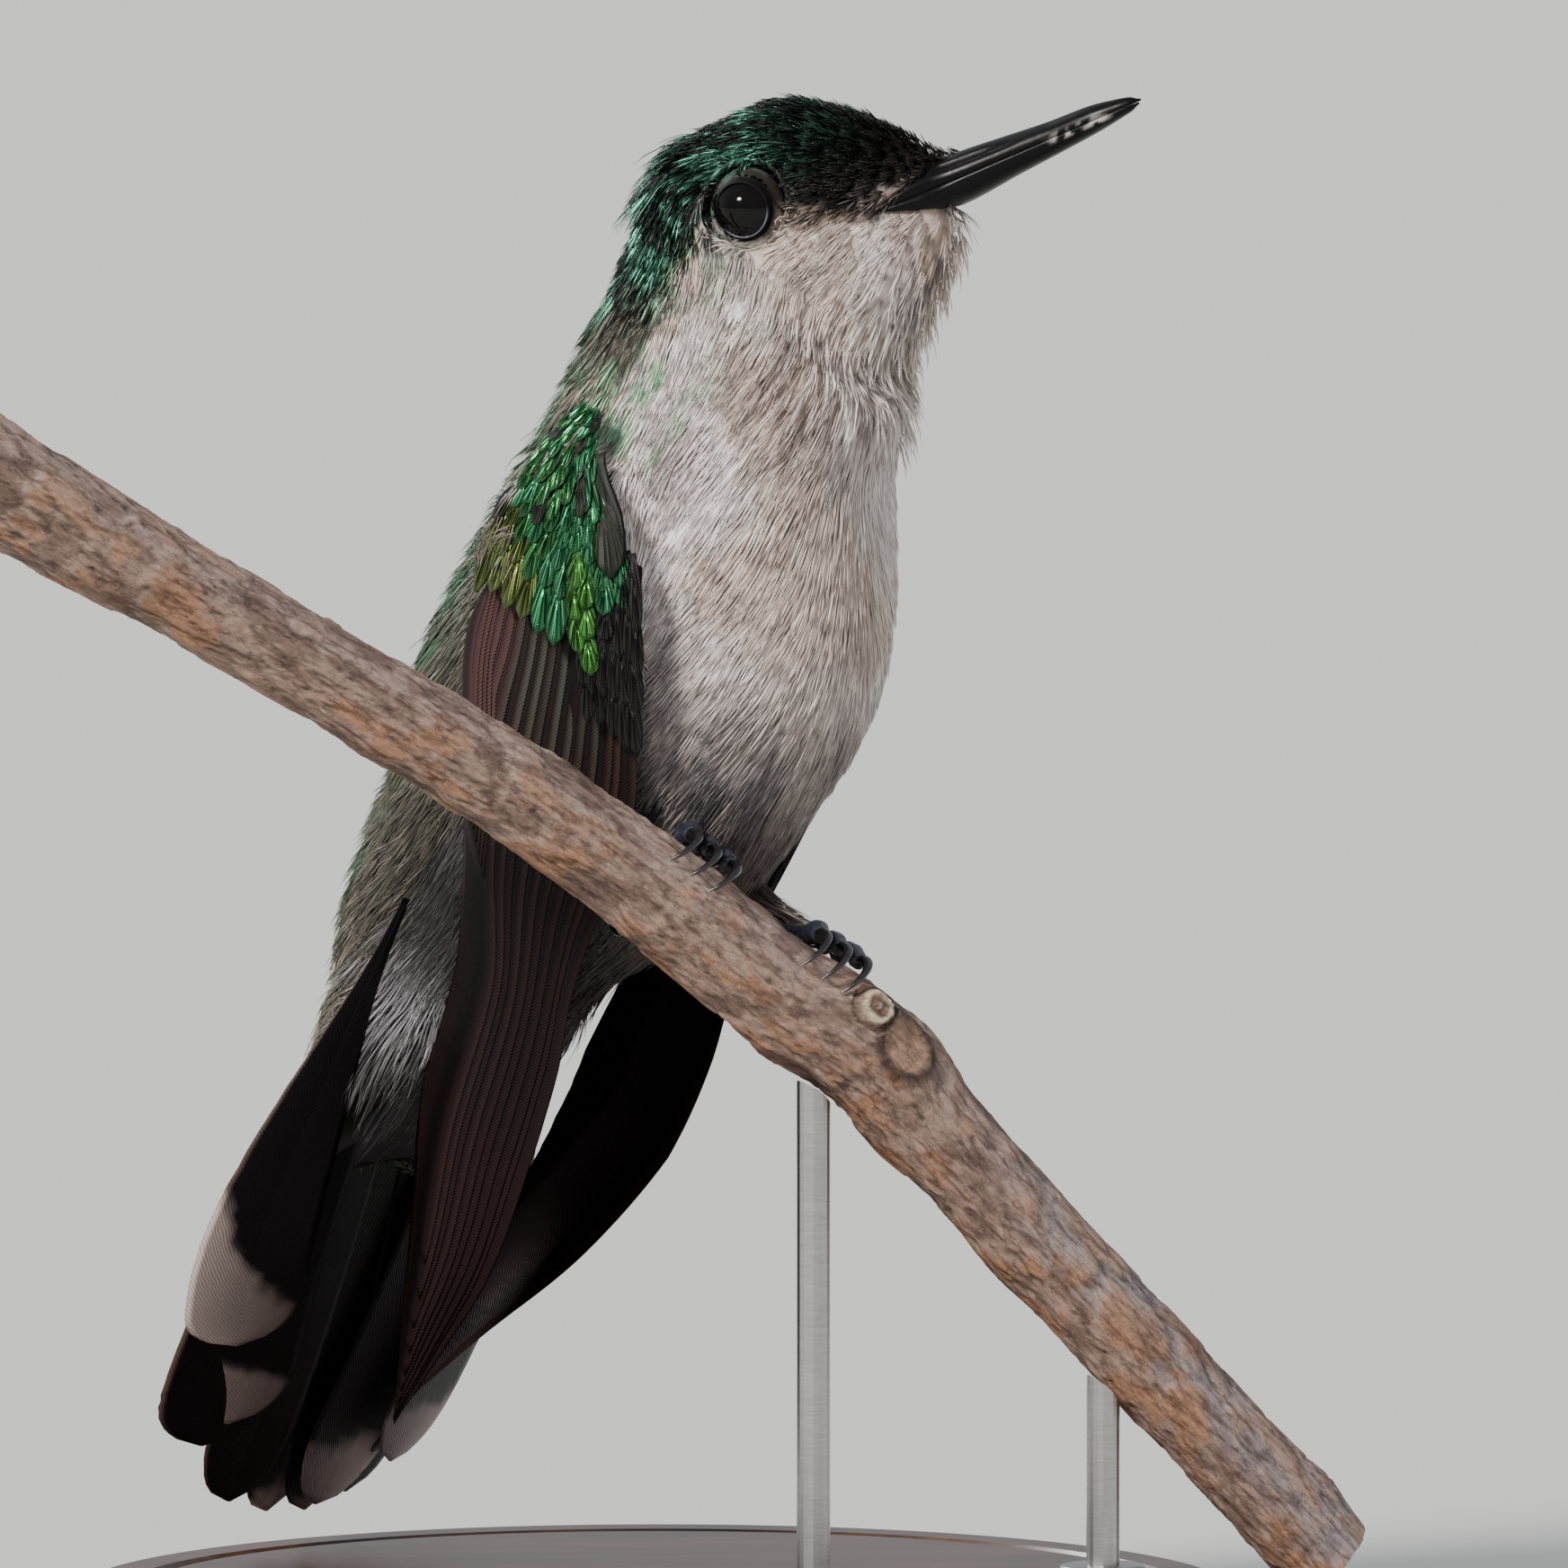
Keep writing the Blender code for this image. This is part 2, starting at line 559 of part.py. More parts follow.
def main():
    """Clear the scene and build every solid."""
    for old in list(bpy.data.objects):
        bpy.data.objects.remove(old, do_unlink=True)
    parts = new_collection("hummingbird")
    cutters = new_collection("cutters")
    make_flesh(parts, cutters)
    make_bill(parts)
    for suffix, side in (("r", -1), ("l", 1)):
        make_wing(suffix, side, parts)
        make_foot(suffix, parts)
    make_tail(parts)
    twig_tube("perch", 0.0, parts)
    make_stand(parts, cutters)


main()
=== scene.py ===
"""Finish of a life-size female crested hummingbird, perched on a twig over its stand.

The frame is loaded first.  Each operator makes one group of pieces in that frame.
Sizes in the tables are millimetres in the bird's own frames; meshes are metres.
"""

import math
from collections import namedtuple

import bmesh
import bpy
import numpy as np
from bpy.props import FloatProperty, FloatVectorProperty, PointerProperty
from bpy.types import Operator, Panel, PropertyGroup
from mathutils import Euler, Matrix, Vector, noise
from mathutils.kdtree import KDTree


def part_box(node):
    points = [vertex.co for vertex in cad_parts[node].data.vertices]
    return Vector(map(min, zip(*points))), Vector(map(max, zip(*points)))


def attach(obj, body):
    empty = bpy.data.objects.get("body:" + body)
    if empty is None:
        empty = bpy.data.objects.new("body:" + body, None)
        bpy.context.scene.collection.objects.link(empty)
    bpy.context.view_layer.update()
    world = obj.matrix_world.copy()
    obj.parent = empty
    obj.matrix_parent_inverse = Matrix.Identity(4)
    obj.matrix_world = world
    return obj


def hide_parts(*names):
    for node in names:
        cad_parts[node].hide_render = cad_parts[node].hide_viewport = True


bl_info = {
    "name": "Crested Hummingbird Finish",
    "version": (1, 0, 0),
    "blender": (4, 5, 0),
    "location": "View3D > Sidebar > Hummingbird",
    "description": "Skin, plumage, bill, eyes, feet, twig and stand of a display hummingbird",
    "category": "Object",
}

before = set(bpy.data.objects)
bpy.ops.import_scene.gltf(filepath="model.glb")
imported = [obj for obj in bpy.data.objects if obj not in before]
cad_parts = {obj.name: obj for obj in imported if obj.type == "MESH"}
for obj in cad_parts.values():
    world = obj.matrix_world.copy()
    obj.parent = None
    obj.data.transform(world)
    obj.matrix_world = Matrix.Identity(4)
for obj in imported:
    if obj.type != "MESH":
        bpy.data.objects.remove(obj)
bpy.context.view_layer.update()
MM = 0.001

# ---- the bird's frames

TRUNK_ORIGIN = np.array((1.7, 1.28, 54.03))
HEAD_OFFSET = (0.0, -3.8, 17.8)          # left, belly side, along, in the trunk's frame


def pose_axes(heading, pitch, roll):
    """Forward, left and up directions of something that looks along a heading at a pitch."""
    turn = Euler((math.radians(roll), -math.radians(pitch), math.radians(heading)), "XYZ").to_matrix()
    return [np.array(turn @ Vector(axis)) for axis in ((1, 0, 0), (0, 1, 0), (0, 0, 1))]


TRUNK_AXIS, TRUNK_LEFT, TRUNK_BACK = pose_axes(-39.6, 62.7, 4.0)
HEAD_AXIS, HEAD_LEFT, HEAD_UP = pose_axes(-20.4, 24.3, 4.0)


def trunk_places(left, belly, along):
    """World places of points given in the trunk's frame, as an array of rows."""
    left, belly, along = (np.asarray(value, float)[..., None] for value in (left, belly, along))
    return TRUNK_ORIGIN + TRUNK_LEFT * left - TRUNK_BACK * belly + TRUNK_AXIS * along


HEAD_CENTRE = trunk_places(*HEAD_OFFSET)


def head_places(forward, left, up):
    """World places of points given in the head's frame, as an array of rows."""
    forward, left, up = (np.asarray(value, float)[..., None] for value in (forward, left, up))
    return HEAD_CENTRE + HEAD_AXIS * forward + HEAD_LEFT * left + HEAD_UP * up


def in_head(places):
    """Forward, left and up values of world places."""
    away = places - HEAD_CENTRE
    return away @ HEAD_AXIS, away @ HEAD_LEFT, away @ HEAD_UP


def in_trunk(places):
    """Left, belly-side and along values of world places."""
    away = places - TRUNK_ORIGIN
    return away @ TRUNK_LEFT, -(away @ TRUNK_BACK), away @ TRUNK_AXIS


# along, belly-side shift, half width, back radius, belly radius
TRUNK_ROWS = [(-24.0, -3.3, 7.0, 6.5, 5.2), (-21.0, -3.0, 7.3, 7.2, 6.2), (-17.0, -1.7, 7.9, 8.7, 7.9),
              (-13.0, -0.8, 8.5, 10.1, 9.6), (-8.0, -0.2, 8.9, 11.0, 10.5), (-2.4, 0.3, 9.0, 10.9, 11.0),
              (2.0, 0.2, 8.8, 10.1, 10.4), (5.5, -0.2, 8.3, 9.2, 9.2), (9.0, -1.0, 7.6, 8.3, 8.4)]
NECK_ROWS = [(0.16, 13.0, -1.5, 7.3, 7.9, 8.5), (0.46, 16.4, -2.3, 7.0, 7.4, 9.3)]
HEAD_ROWS = [(0.5, -1.2, 6.1, 6.5, 8.9), (3.2, -1.3, 5.6, 6.4, 8.2), (5.6, -1.5, 4.3, 5.2, 6.3),
             (7.6, -1.8, 2.8, 3.7, 4.4), (9.1, -2.0, 1.9, 2.1, 2.3)]
# along, belly-side shift, sideways, half width, half thickness
RUMP_ROWS = [(-24.3, -3.6, -0.1, 7.1, 5.6), (-28.0, -3.7, -0.6, 8.1, 3.5), (-31.5, -3.5, -1.3, 9.0, 1.7),
             (-34.0, -3.2, -1.8, 9.5, 1.0)]
TAIL_ROWS = [(-34.3, -3.1, -1.9, 9.6, 0.9), (-38.0, -2.7, -2.4, 10.8, 0.5), (-42.0, -2.2, -2.6, 11.2, 0.4),
             (-45.0, -1.9, -2.6, 10.8, 0.35), (-47.6, -1.6, -2.7, 9.5, 0.3), (-49.6, -1.4, -2.7, 7.3, 0.28),
             (-51.0, -1.2, -2.6, 4.6, 0.26), (-51.8, -1.1, -2.5, 2.0, 0.25)]
# along, leading edge out and belly-side, trailing edge out and belly-side
WING_ROWS = [(8.8, 7.4, -1.2, 7.4, -4.0), (6.6, 8.3, -0.6, 8.3, -4.7), (4.6, 9.3, 2.0, 8.7, -5.6),
             (0.0, 9.4, 4.2, 8.4, -6.4), (-4.0, 8.8, 5.6, 8.6, -5.6), (-8.0, 7.9, 6.7, 8.9, -3.8),
             (-12.0, 7.5, 6.9, 8.9, -2.0), (-16.0, 7.3, 6.9, 8.6, -0.2), (-21.0, 7.0, 7.4, 7.2, 0.7),
             (-27.0, 6.1, 7.9, 5.9, 1.0), (-34.0, 4.5, 7.3, 4.6, 2.2), (-40.0, 3.0, 5.5, 3.1, 2.6),
             (-44.6, 2.2, 4.1, 2.1, 3.3)]
EYE_PLACE = (1.1, 4.3, 0.55)             # forward, out, up in the head's frame
EYE_RADIUS = 1.7
# forward in the head's frame, half width, height above and below the line where the bill closes
BILL_ROWS = [(6.4, 3.0, 0.12, 0.10), (7.4, 2.65, 0.6, 0.55), (8.4, 2.2, 0.95, 0.98), (9.4, 1.75, 1.15, 1.2),
             (10.6, 1.5, 1.15, 1.15), (12.5, 1.25, 1.0, 0.95), (15.0, 1.0, 0.8, 0.75),
             (17.2, 0.85, 0.72, 0.55), (18.6, 0.55, 0.5, 0.35), (19.2, 0.35, 0.36, 0.25),
             (19.65, 0.16, 0.22, 0.2)]
BILL_LINE = -2.2                         # height of that line where the bare bill starts
BILL_DROOP = 0.03
# world x, y, z and radius
TWIG_ROWS = [(-32.6, -25.9, 61.7, 2.9), (-20.5, -19.1, 54.1, 2.35), (-11.5, -14.4, 48.4, 2.35),
             (-1.7, -9.1, 41.5, 2.5), (5.2, -5.6, 35.6, 2.7), (10.7, -2.7, 31.4, 2.85),
             (13.6, -1.3, 27.9, 2.5), (32.4, 8.1, 6.6, 2.4)]


def smooth_at(rows, places):
    """Cubic blend of a table's rows, keyed by their first column, at many places."""
    rows = np.array(sorted(rows), float)
    places = np.clip(np.atleast_1d(np.asarray(places, float)), rows[0, 0], rows[-1, 0])
    index = np.clip(np.searchsorted(rows[:, 0], places, side="right") - 1, 0, len(rows) - 2)
    before, start, end, after = (rows[np.clip(index + step, 0, len(rows) - 1)] for step in (-1, 0, 1, 2))
    span = (end - start)[:, :1]
    share = (places[:, None] - start[:, :1]) / span
    slope_start = (end - before) / (end - before)[:, :1]
    slope_end = (after - start) / (after - start)[:, :1]
    square = share * share
    cube = square * share
    return ((2 * cube - 3 * square + 1) * start + (cube - 2 * square + share) * slope_start * span
            + (3 * square - 2 * cube) * end + (cube - square) * slope_end * span)


def whole_turn(count):
    """Evenly spaced angles once round."""
    return np.linspace(0, 2 * math.pi, count, endpoint=False)


def bill_line(forward):
    """Height, in the head's frame, of the line where the bill closes."""
    return BILL_LINE - BILL_DROOP * (forward - 9.4)


def ramp(values, low, high):
    """Smooth step from 0 at low to 1 at high."""
    share = np.clip((np.asarray(values, float) - low) / (high - low), 0.0, 1.0)
    return share * share * (3 - 2 * share)


def unit(vectors):
    """Rows scaled to length one."""
    return vectors / np.maximum(np.linalg.norm(vectors, axis=-1, keepdims=True), 1e-9)


def ripple(places, size, seed):
    """Smooth repeatable variation, mostly between -1 and 1, with swells of about one size."""
    rng = np.random.default_rng(seed)
    total = np.zeros(places.shape[:-1])
    for _ in range(6):
        wave = unit(rng.normal(size=3)) * 2 * math.pi / size * rng.uniform(0.6, 1.5)
        total += np.sin(places @ wave + rng.uniform(0, 2 * math.pi))
    return total / 2.2


def layered(base, *layers):
    """A colour with others laid over it in turn, each by its share at each place."""
    for colour, share in layers:
        base = base + (np.asarray(colour) - base) * np.asarray(share)[..., None]
    return base


def arc_length(points):
    """Distance gone along a line at each of its points."""
    return np.concatenate(([0.0], np.cumsum(np.linalg.norm(np.diff(points, axis=0), axis=1))))


def paint(red, green, blue):
    """Linear colour from display values of 0 to 255."""
    values = np.array((red, green, blue)) / 255.0
    return np.where(values <= 0.04045, values / 12.92, ((values + 0.055) / 1.055) ** 2.4)


# ---- spine and places on the body

def spine_rows():
    """Stations down the bird, from the tail's end to the bill's root."""
    rows = []
    for along, shift, sideways, half, thick in TAIL_ROWS[::-1][2:] + RUMP_ROWS[::-1]:
        centre = trunk_places(sideways, shift, along)
        rows.append((along, *centre, *TRUNK_LEFT, *TRUNK_BACK, half, thick, thick))
    for along, shift, side, back, belly in TRUNK_ROWS:
        rows.append((along, *trunk_places(0, shift, along), *TRUNK_LEFT, *TRUNK_BACK, side, back, belly))
    for turn, along, shift, side, back, belly in NECK_ROWS:
        left = unit(TRUNK_LEFT * (1 - turn) + HEAD_LEFT * turn)
        up = unit(TRUNK_BACK * (1 - turn) + HEAD_UP * turn)
        rows.append((along, *trunk_places(0, shift, along), *left, *up, side, back, belly))
    for forward, shift, side, crown, throat in HEAD_ROWS:
        centre = head_places(forward, 0, shift)
        rows.append((18.5 + forward, *centre, *HEAD_LEFT, *HEAD_UP, side, crown, throat))
    return rows


class Spine:
    """Dense stations of the body, and the places of points against them."""

    def __init__(self):
        rows = spine_rows()
        stations = np.arange(rows[0][0], rows[-1][0], 0.5)
        table = smooth_at(rows, stations)
        self.station = stations
        self.centre = table[:, 1:4]
        self.left = unit(table[:, 4:7])
        self.up = unit(table[:, 7:10])
        self.reach = table[:, 10:13]
        self.along = unit(np.gradient(self.centre, axis=0))

    def locate(self, places):
        """Station, direction headwards, left and up at each place, and how far out it lies."""
        nearest = np.empty(len(places), int)
        for start in range(0, len(places), 20000):
            part = places[start:start + 20000]
            gaps = ((part[:, None, :] - self.centre[None]) ** 2).sum(-1)
            nearest[start:start + 20000] = gaps.argmin(1)
        away = places - self.centre[nearest]
        slide = np.clip((away * self.along[nearest]).sum(-1), -1.0, 1.0)
        sideways = (away * self.left[nearest]).sum(-1)
        upwards = (away * self.up[nearest]).sum(-1)
        reach = self.reach[nearest]
        tall = np.where(upwards > 0, reach[:, 1], reach[:, 2])
        out = np.hypot(sideways / reach[:, 0], upwards / tall)
        top = upwards / tall / np.maximum(out, 1e-6)
        side = sideways / reach[:, 0] / np.maximum(out, 1e-6)
        excess = (out - 1.0) * np.hypot(sideways, upwards) / np.maximum(out, 1e-6)
        return {"station": self.station[nearest] + slide, "along": self.along[nearest], "top": top,
                "side": side, "excess": excess, "left": self.left[nearest]}


SPINE = Spine()


def unwrap(places):
    """Flat place of each point on the skin: round the body across, down the body upwards."""
    spot = SPINE.locate(places)
    across = 0.5 + np.arctan2(spot["side"], -spot["top"]) / (2 * math.pi)
    upwards = (spot["station"] + 52.0) / 82.0
    return np.stack((0.01 + 0.98 * across, 0.01 + 0.98 * np.clip(upwards, 0, 1)), -1)


def crown_edge(forward):
    """Height, in the head's frame, where the dark cap ends and the pale face starts."""
    ahead = np.maximum(forward - 1.6, 0.0)
    behind = np.maximum(0.1 - forward, 0.0)
    return np.where(forward > 1.6, -0.37 * ahead, np.where(forward < 0.1, 1.0 - 0.42 * behind, 1.2))


def nape_shift(station):
    """How much nearer the spine the dark back's edge runs beside the neck."""
    return 0.26 * ramp(station, 2.5, 6.0) * (1 - ramp(station, 12.0, 15.0))


def eye_gap(forward, up):
    """Distance of places from the eye's middle, seen from the side."""
    return np.hypot(forward - EYE_PLACE[0], up - EYE_PLACE[2])


def plumage(places):
    """Colour and shimmer of the plumage at world places, by the bird's own markings."""
    settings = bpy.context.scene.hummingbird_plumage
    forward, out, up = in_head(places)
    left = abs(in_trunk(places)[0])
    spot = SPINE.locate(places)
    station, top = spot["station"], spot["top"]
    rear = -station
    over_cap = up - crown_edge(forward)

    def even(colour):
        return np.repeat(np.array(colour)[None], len(places), 0)

    tufty = ramp(ripple(places, 2.6, 31) + 0.4 * ripple(places, 0.9, 32), -0.4, 0.5)
    head = ramp(station, 14.0, 19.0)
    cap = ramp(over_cap + 0.45 * ripple(places, 1.6, 6), -0.35, 0.55) * head
    back = ramp(top - nape_shift(station) + 0.12 * ripple(places, 3.0, 7), 0.02, 0.32) * (1 - head)
    whiskers = ramp(forward, 2.2, 3.6) * ramp(over_cap, -0.9, -0.2) * (1 - cap) * head
    chin = ramp(forward, 3.0, 6.0) * ramp(-up, 3.4, 5.0) * ramp(ripple(places, 2.2, 18), -0.3, 0.8) * head
    patch = np.exp(-(((forward - 3.0) / 2.2) ** 2 + ((up + 3.4) / 0.8) ** 2)) * head * (1 - cap)
    colour = layered(
        even(settings.breast_colour),
        (settings.mottle_colour,
         0.7 * ramp(ripple(places, 5.0, 3) + 0.5 * ripple(places, 1.6, 4), 0.45, 1.3)),
        (paint(198, 170, 146), 0.5 * ramp(ripple(places, 7.0, 5), 0.0, 1.0)),
        (paint(112, 95, 88), 0.9 * ramp(rear, -4.0, 9.0)),
        (paint(62, 58, 64), 0.95 * ramp(rear, -1.0, 6.0) * ramp(left, 0.5, 3.0) * tufty),
        (paint(74, 68, 72), 0.85 * ramp(rear, 7.0, 12.0) * ramp(left, 2.5, 6.0)),
        # painted shade: plumage darker from the lower belly back, as under the body
        (paint(64, 56, 54), 0.85 * ramp(rear, 12.0, 16.0)),
        (paint(176, 170, 176), 0.9 * ramp(rear, 18.0, 20.5) * ramp(left, 2.5, 5.0)),
        (paint(128, 112, 104), 0.8 * ramp(rear, 19.0, 23.0) * (1 - ramp(left, 2.5, 5.0))),
        (paint(40, 36, 40), 0.95 * ramp(rear, 21.5, 26.5)),
        (paint(120, 96, 82), 0.85 * whiskers),
        (paint(122, 114, 114), 0.65 * chin),
        (paint(104, 94, 96), 0.6 * patch * ramp(ripple(places, 1.1, 23), -0.4, 0.6)))
    glint = np.array(settings.crown_glint)
    bright = ramp(ripple(places, 2.0, 8) + 0.7 * ripple(places, 0.7, 9), -0.2, 1.2)
    loral = head * ramp(forward, 2.2, 3.6) * (1 - ramp(over_cap, 1.2, 2.4))
    dorsal = ramp(top + 0.1 * ripple(places, 2.2, 27), 0.62, 0.92)
    bronze = layered(even(settings.side_colour), (settings.back_colour, dorsal),
                     (glint * 0.8, (0.05 + 0.3 * dorsal) * bright))
    greens = layered(
        even(settings.crown_colour),
        (glint, (0.06 + 0.6 * (1 - ramp(forward, 1.0, 4.5))) * bright),
        (paint(24, 19, 17), 0.92 * ramp(forward, 4.5, 7.5)),
        (paint(32, 25, 23), 0.92 * loral),
        (bronze, ramp(rear, -17.0, -11.0)))
    shimmer = np.clip(cap + back, 0, 1)
    nape = ramp(top + 0.2 * ripple(places, 1.5, 17), -0.35, 0.1) * ramp(station, 6.0, 11.0) * (1 - head)
    flecks = nape * (1 - back) * ramp(ripple(places, 0.5, 19), 0.2, 0.5)
    white = 0.6 * np.exp(-(np.hypot(forward + 0.75, up - 1.75) / 0.3) ** 2) * head
    around_eye = (1 - ramp(eye_gap(forward, up), 1.7, 2.7)) * (1 - white) * head
    cheek = np.exp(-((forward + 1.6) / 1.7) ** 2 - ((up + 1.7) / 0.9) ** 2) * head * (1 - cap)
    colour = layered(
        colour, (greens, shimmer), (paint(84, 190, 130), 0.9 * flecks), (paint(235, 232, 230), 0.9 * white),
        (paint(50, 39, 35), 0.85 * around_eye * ramp(np.abs(out), 3.0, 3.6)),
        (paint(140, 108, 98), 0.8 * cheek))
    shimmer = shimmer * (1 - 0.8 * ramp(rear, -16.0, -10.0) * (1 - dorsal)) * (1 - 0.8 * loral)
    return np.clip(colour, 0.001, 1.0), np.clip(shimmer * (1 - white) + 0.5 * flecks, 0, 1)


# ---- making meshes and materials

def quiet():
    """Leave edit mode and deselect everything."""
    if bpy.context.object and bpy.context.object.mode != "OBJECT":
        bpy.ops.object.mode_set(mode="OBJECT")
    bpy.ops.object.select_all(action="DESELECT")


def pick(node):
    """Make one object the only selected and the active one."""
    quiet()
    node.select_set(True)
    bpy.context.view_layer.objects.active = node


def apply_modifier(node, kind, **values):
    """Add a modifier, set its values and apply it."""
    pick(node)
    bpy.ops.object.modifier_add(type=kind)
    modifier = node.modifiers[-1]
    for key, value in values.items():
        setattr(modifier, key, value)
    bpy.ops.object.modifier_apply(modifier=modifier.name)


def point_values(mesh, key):
    """Places or normals of a mesh's points, as rows."""
    values = np.empty(len(mesh.vertices) * 3, np.float32)
    mesh.vertices.foreach_get(key, values)
    return values.reshape(-1, 3)


def vertex_places(mesh):
    """Places of a mesh's points in millimetres."""
    return point_values(mesh, "co") / MM


def move_points(mesh, places):
    """Give a mesh's points new places in millimetres."""
    mesh.vertices.foreach_set("co", (np.asarray(places) * MM).astype(np.float32).ravel())
    mesh.update()


def link_object(name, data):
    """A new object in the scene."""
    node = bpy.data.objects.new(name, data)
    bpy.context.scene.collection.objects.link(node)
    return node


def add_attribute(mesh, name, kind, values):
    """Store values on a mesh's points."""
    layer = mesh.attributes.get(name) or mesh.attributes.new(name, kind, "POINT")
    key = {"FLOAT_COLOR": "color", "FLOAT_VECTOR": "vector", "FLOAT": "value"}[kind]
    values = np.asarray(values, np.float32)
    if kind == "FLOAT_COLOR" and values.shape[1] == 3:
        values = np.concatenate((values, np.ones((len(values), 1), np.float32)), 1)
    layer.data.foreach_set(key, values.ravel())


def add_map(mesh, patch, corners):
    """The flat map of a mesh, from a place for each point and the point at each corner."""
    layer = mesh.uv_layers.new(name="OFBake")
    layer.uv.foreach_set("vector", patch[corners].astype(np.float32).ravel())


def triangle_mesh(name, places, triangles, tint, shimmer=None, patch=None, lay=None):
    """Object from arrays: places in millimetres, corners of triangles, and values for each point."""
    mesh = bpy.data.meshes.new(name)
    mesh.vertices.add(len(places))
    move_points(mesh, places)
    mesh.loops.add(triangles.size)
    mesh.loops.foreach_set("vertex_index", triangles.astype(np.int32).ravel())
    mesh.polygons.add(len(triangles))
    mesh.polygons.foreach_set("loop_start", np.arange(0, triangles.size, 3, dtype=np.int32))
    mesh.update(calc_edges=True)
    mesh.shade_smooth()
    add_attribute(mesh, "tint", "FLOAT_COLOR", tint)
    add_attribute(mesh, "shimmer", "FLOAT", np.zeros(len(places)) if shimmer is None else shimmer)
    if lay is not None:
        add_attribute(mesh, "lay", "FLOAT_VECTOR", lay)
    if patch is not None:
        add_map(mesh, patch, triangles.ravel())
    return link_object(name, mesh)


def place_piece(node, material, slot, *replaced):
    """Give a piece its material and body, and hide the nodes it stands for; slot is not used."""
    node.data.materials.clear()
    node.data.materials.append(material)
    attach(node, "root")
    if replaced:
        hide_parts(*replaced)
    return node


def feed(tree, node, **values):
    """Set a shader node's settings and inputs, by name or by _ and number, or link outputs to them."""
    for key, value in values.items():
        if hasattr(node, key):
            setattr(node, key, value)
            continue
        socket = node.inputs[int(key[1:]) if key[0] == "_" else key.replace("_", " ")]
        if isinstance(value, bpy.types.NodeSocket):
            tree.links.new(value, socket)
        else:
            socket.default_value = value
    return node


def add_node(tree, kind, **values):
    """A new shader node with its settings and inputs."""
    return feed(tree, tree.nodes.new("ShaderNode" + kind), **values)


def calculate(tree, operation, *inputs):
    """Result of a Math node."""
    values = {"_%d" % number: value for number, value in enumerate(inputs)}
    return add_node(tree, "Math", operation=operation, **values).outputs[0]


def attribute(tree, name, output):
    """Values that a mesh stores on its points."""
    return add_node(tree, "Attribute", attribute_name=name).outputs[output]


def draw_strands(group, source):
    """Mask of fine irregular streaks."""
    place = add_node(group, "TexCoord").outputs["Object"]
    grain = add_node(group, "TexNoise", Detail=4.0, Roughness=0.65, Vector=place, Scale=source["Scale"])
    return grain.outputs["Fac"]


def draw_barbs(group, source):
    """Mask of slanting barb lines, from a map of millimetres across and along the feather."""
    lay = attribute(group, "lay", "Vector")
    parts = add_node(group, "SeparateXYZ", _0=lay).outputs
    across = calculate(group, "ABSOLUTE", parts["X"])
    slanted = calculate(group, "MULTIPLY_ADD", across, source["Slant"], parts["Y"])
    counted = calculate(group, "MULTIPLY", slanted, source["Lines per mm"])
    uneven = add_node(group, "TexNoise", Scale=1.1, Detail=2.0, Vector=lay).outputs["Fac"]
    turns = calculate(group, "MULTIPLY_ADD", uneven, 9.0, counted)
    return calculate(group, "MULTIPLY_ADD", calculate(group, "SINE", turns), 0.5, 0.5)


STRANDS = "Strand streaks"
BARBS = "Barb lines"
PATTERNS = {STRANDS: (draw_strands, {"Scale": 900.0, "Contrast": 0.4}),
            BARBS: (draw_barbs, {"Lines per mm": 5.0, "Slant": 1.3, "Contrast": 0.4})}


def pattern_group(name):
    """Group that makes a tint lighter and darker by a mask, which is also its height; made once."""
    if name in bpy.data.node_groups:
        return bpy.data.node_groups[name]
    draw, inputs = PATTERNS[name]
    group = bpy.data.node_groups.new(name, "ShaderNodeTree")
    sockets = group.interface.new_socket
    sockets("Tint", in_out="INPUT", socket_type="NodeSocketColor").default_value = (0.5, 0.5, 0.5, 1)
    for label, value in inputs.items():
        sockets(label, in_out="INPUT", socket_type="NodeSocketFloat").default_value = value
    sockets("Color", in_out="OUTPUT", socket_type="NodeSocketColor")
    sockets("Height", in_out="OUTPUT", socket_type="NodeSocketFloat")
    source = group.nodes.new("NodeGroupInput").outputs
    mask = draw(group, source)
    rest = calculate(group, "MULTIPLY_ADD", source["Contrast"], -0.5, 1.0)
    spread = calculate(group, "MULTIPLY_ADD", mask, source["Contrast"], rest)
    scaled = add_node(group, "VectorMath", operation="SCALE", _0=source["Tint"], Scale=spread)
    feed(group, group.nodes.new("NodeGroupOutput"), Color=scaled.outputs[0], Height=mask)
    return group


def new_material(name, roughness, **values):
    """A Principled material; values are inputs of the shader itself."""
    material = bpy.data.materials.new(name)
    material.use_nodes = True
    tree = material.node_tree
    return material, tree, feed(tree, tree.nodes["Principled BSDF"], Roughness=roughness, **values)


def add_bump(tree, shader, height, distance, strength=0.5):
    """Bump from a height output, with its distance in millimetres."""
    bump = add_node(tree, "Bump", Strength=strength, Distance=distance * MM, Height=height)
    feed(tree, shader, Normal=bump.outputs["Normal"])


def tinted_material(name, pattern, scale, contrast, roughness, bump, metallic=0.0, **values):
    """Material with each point's tint broken up by a pattern, and a share of metallic shimmer."""
    material, tree, shader = new_material(name, roughness, **values)
    group = add_node(tree, "Group", node_tree=pattern_group(pattern), Tint=attribute(tree, "tint", "Color"),
                     _1=scale, Contrast=contrast)
    feed(tree, shader, Base_Color=group.outputs["Color"])
    if metallic:
        feed(tree, shader, Metallic=calculate(tree, "MULTIPLY", attribute(tree, "shimmer", "Fac"), metallic))
    if bump:
        add_bump(tree, shader, group.outputs["Height"], bump)
    return material, tree, shader


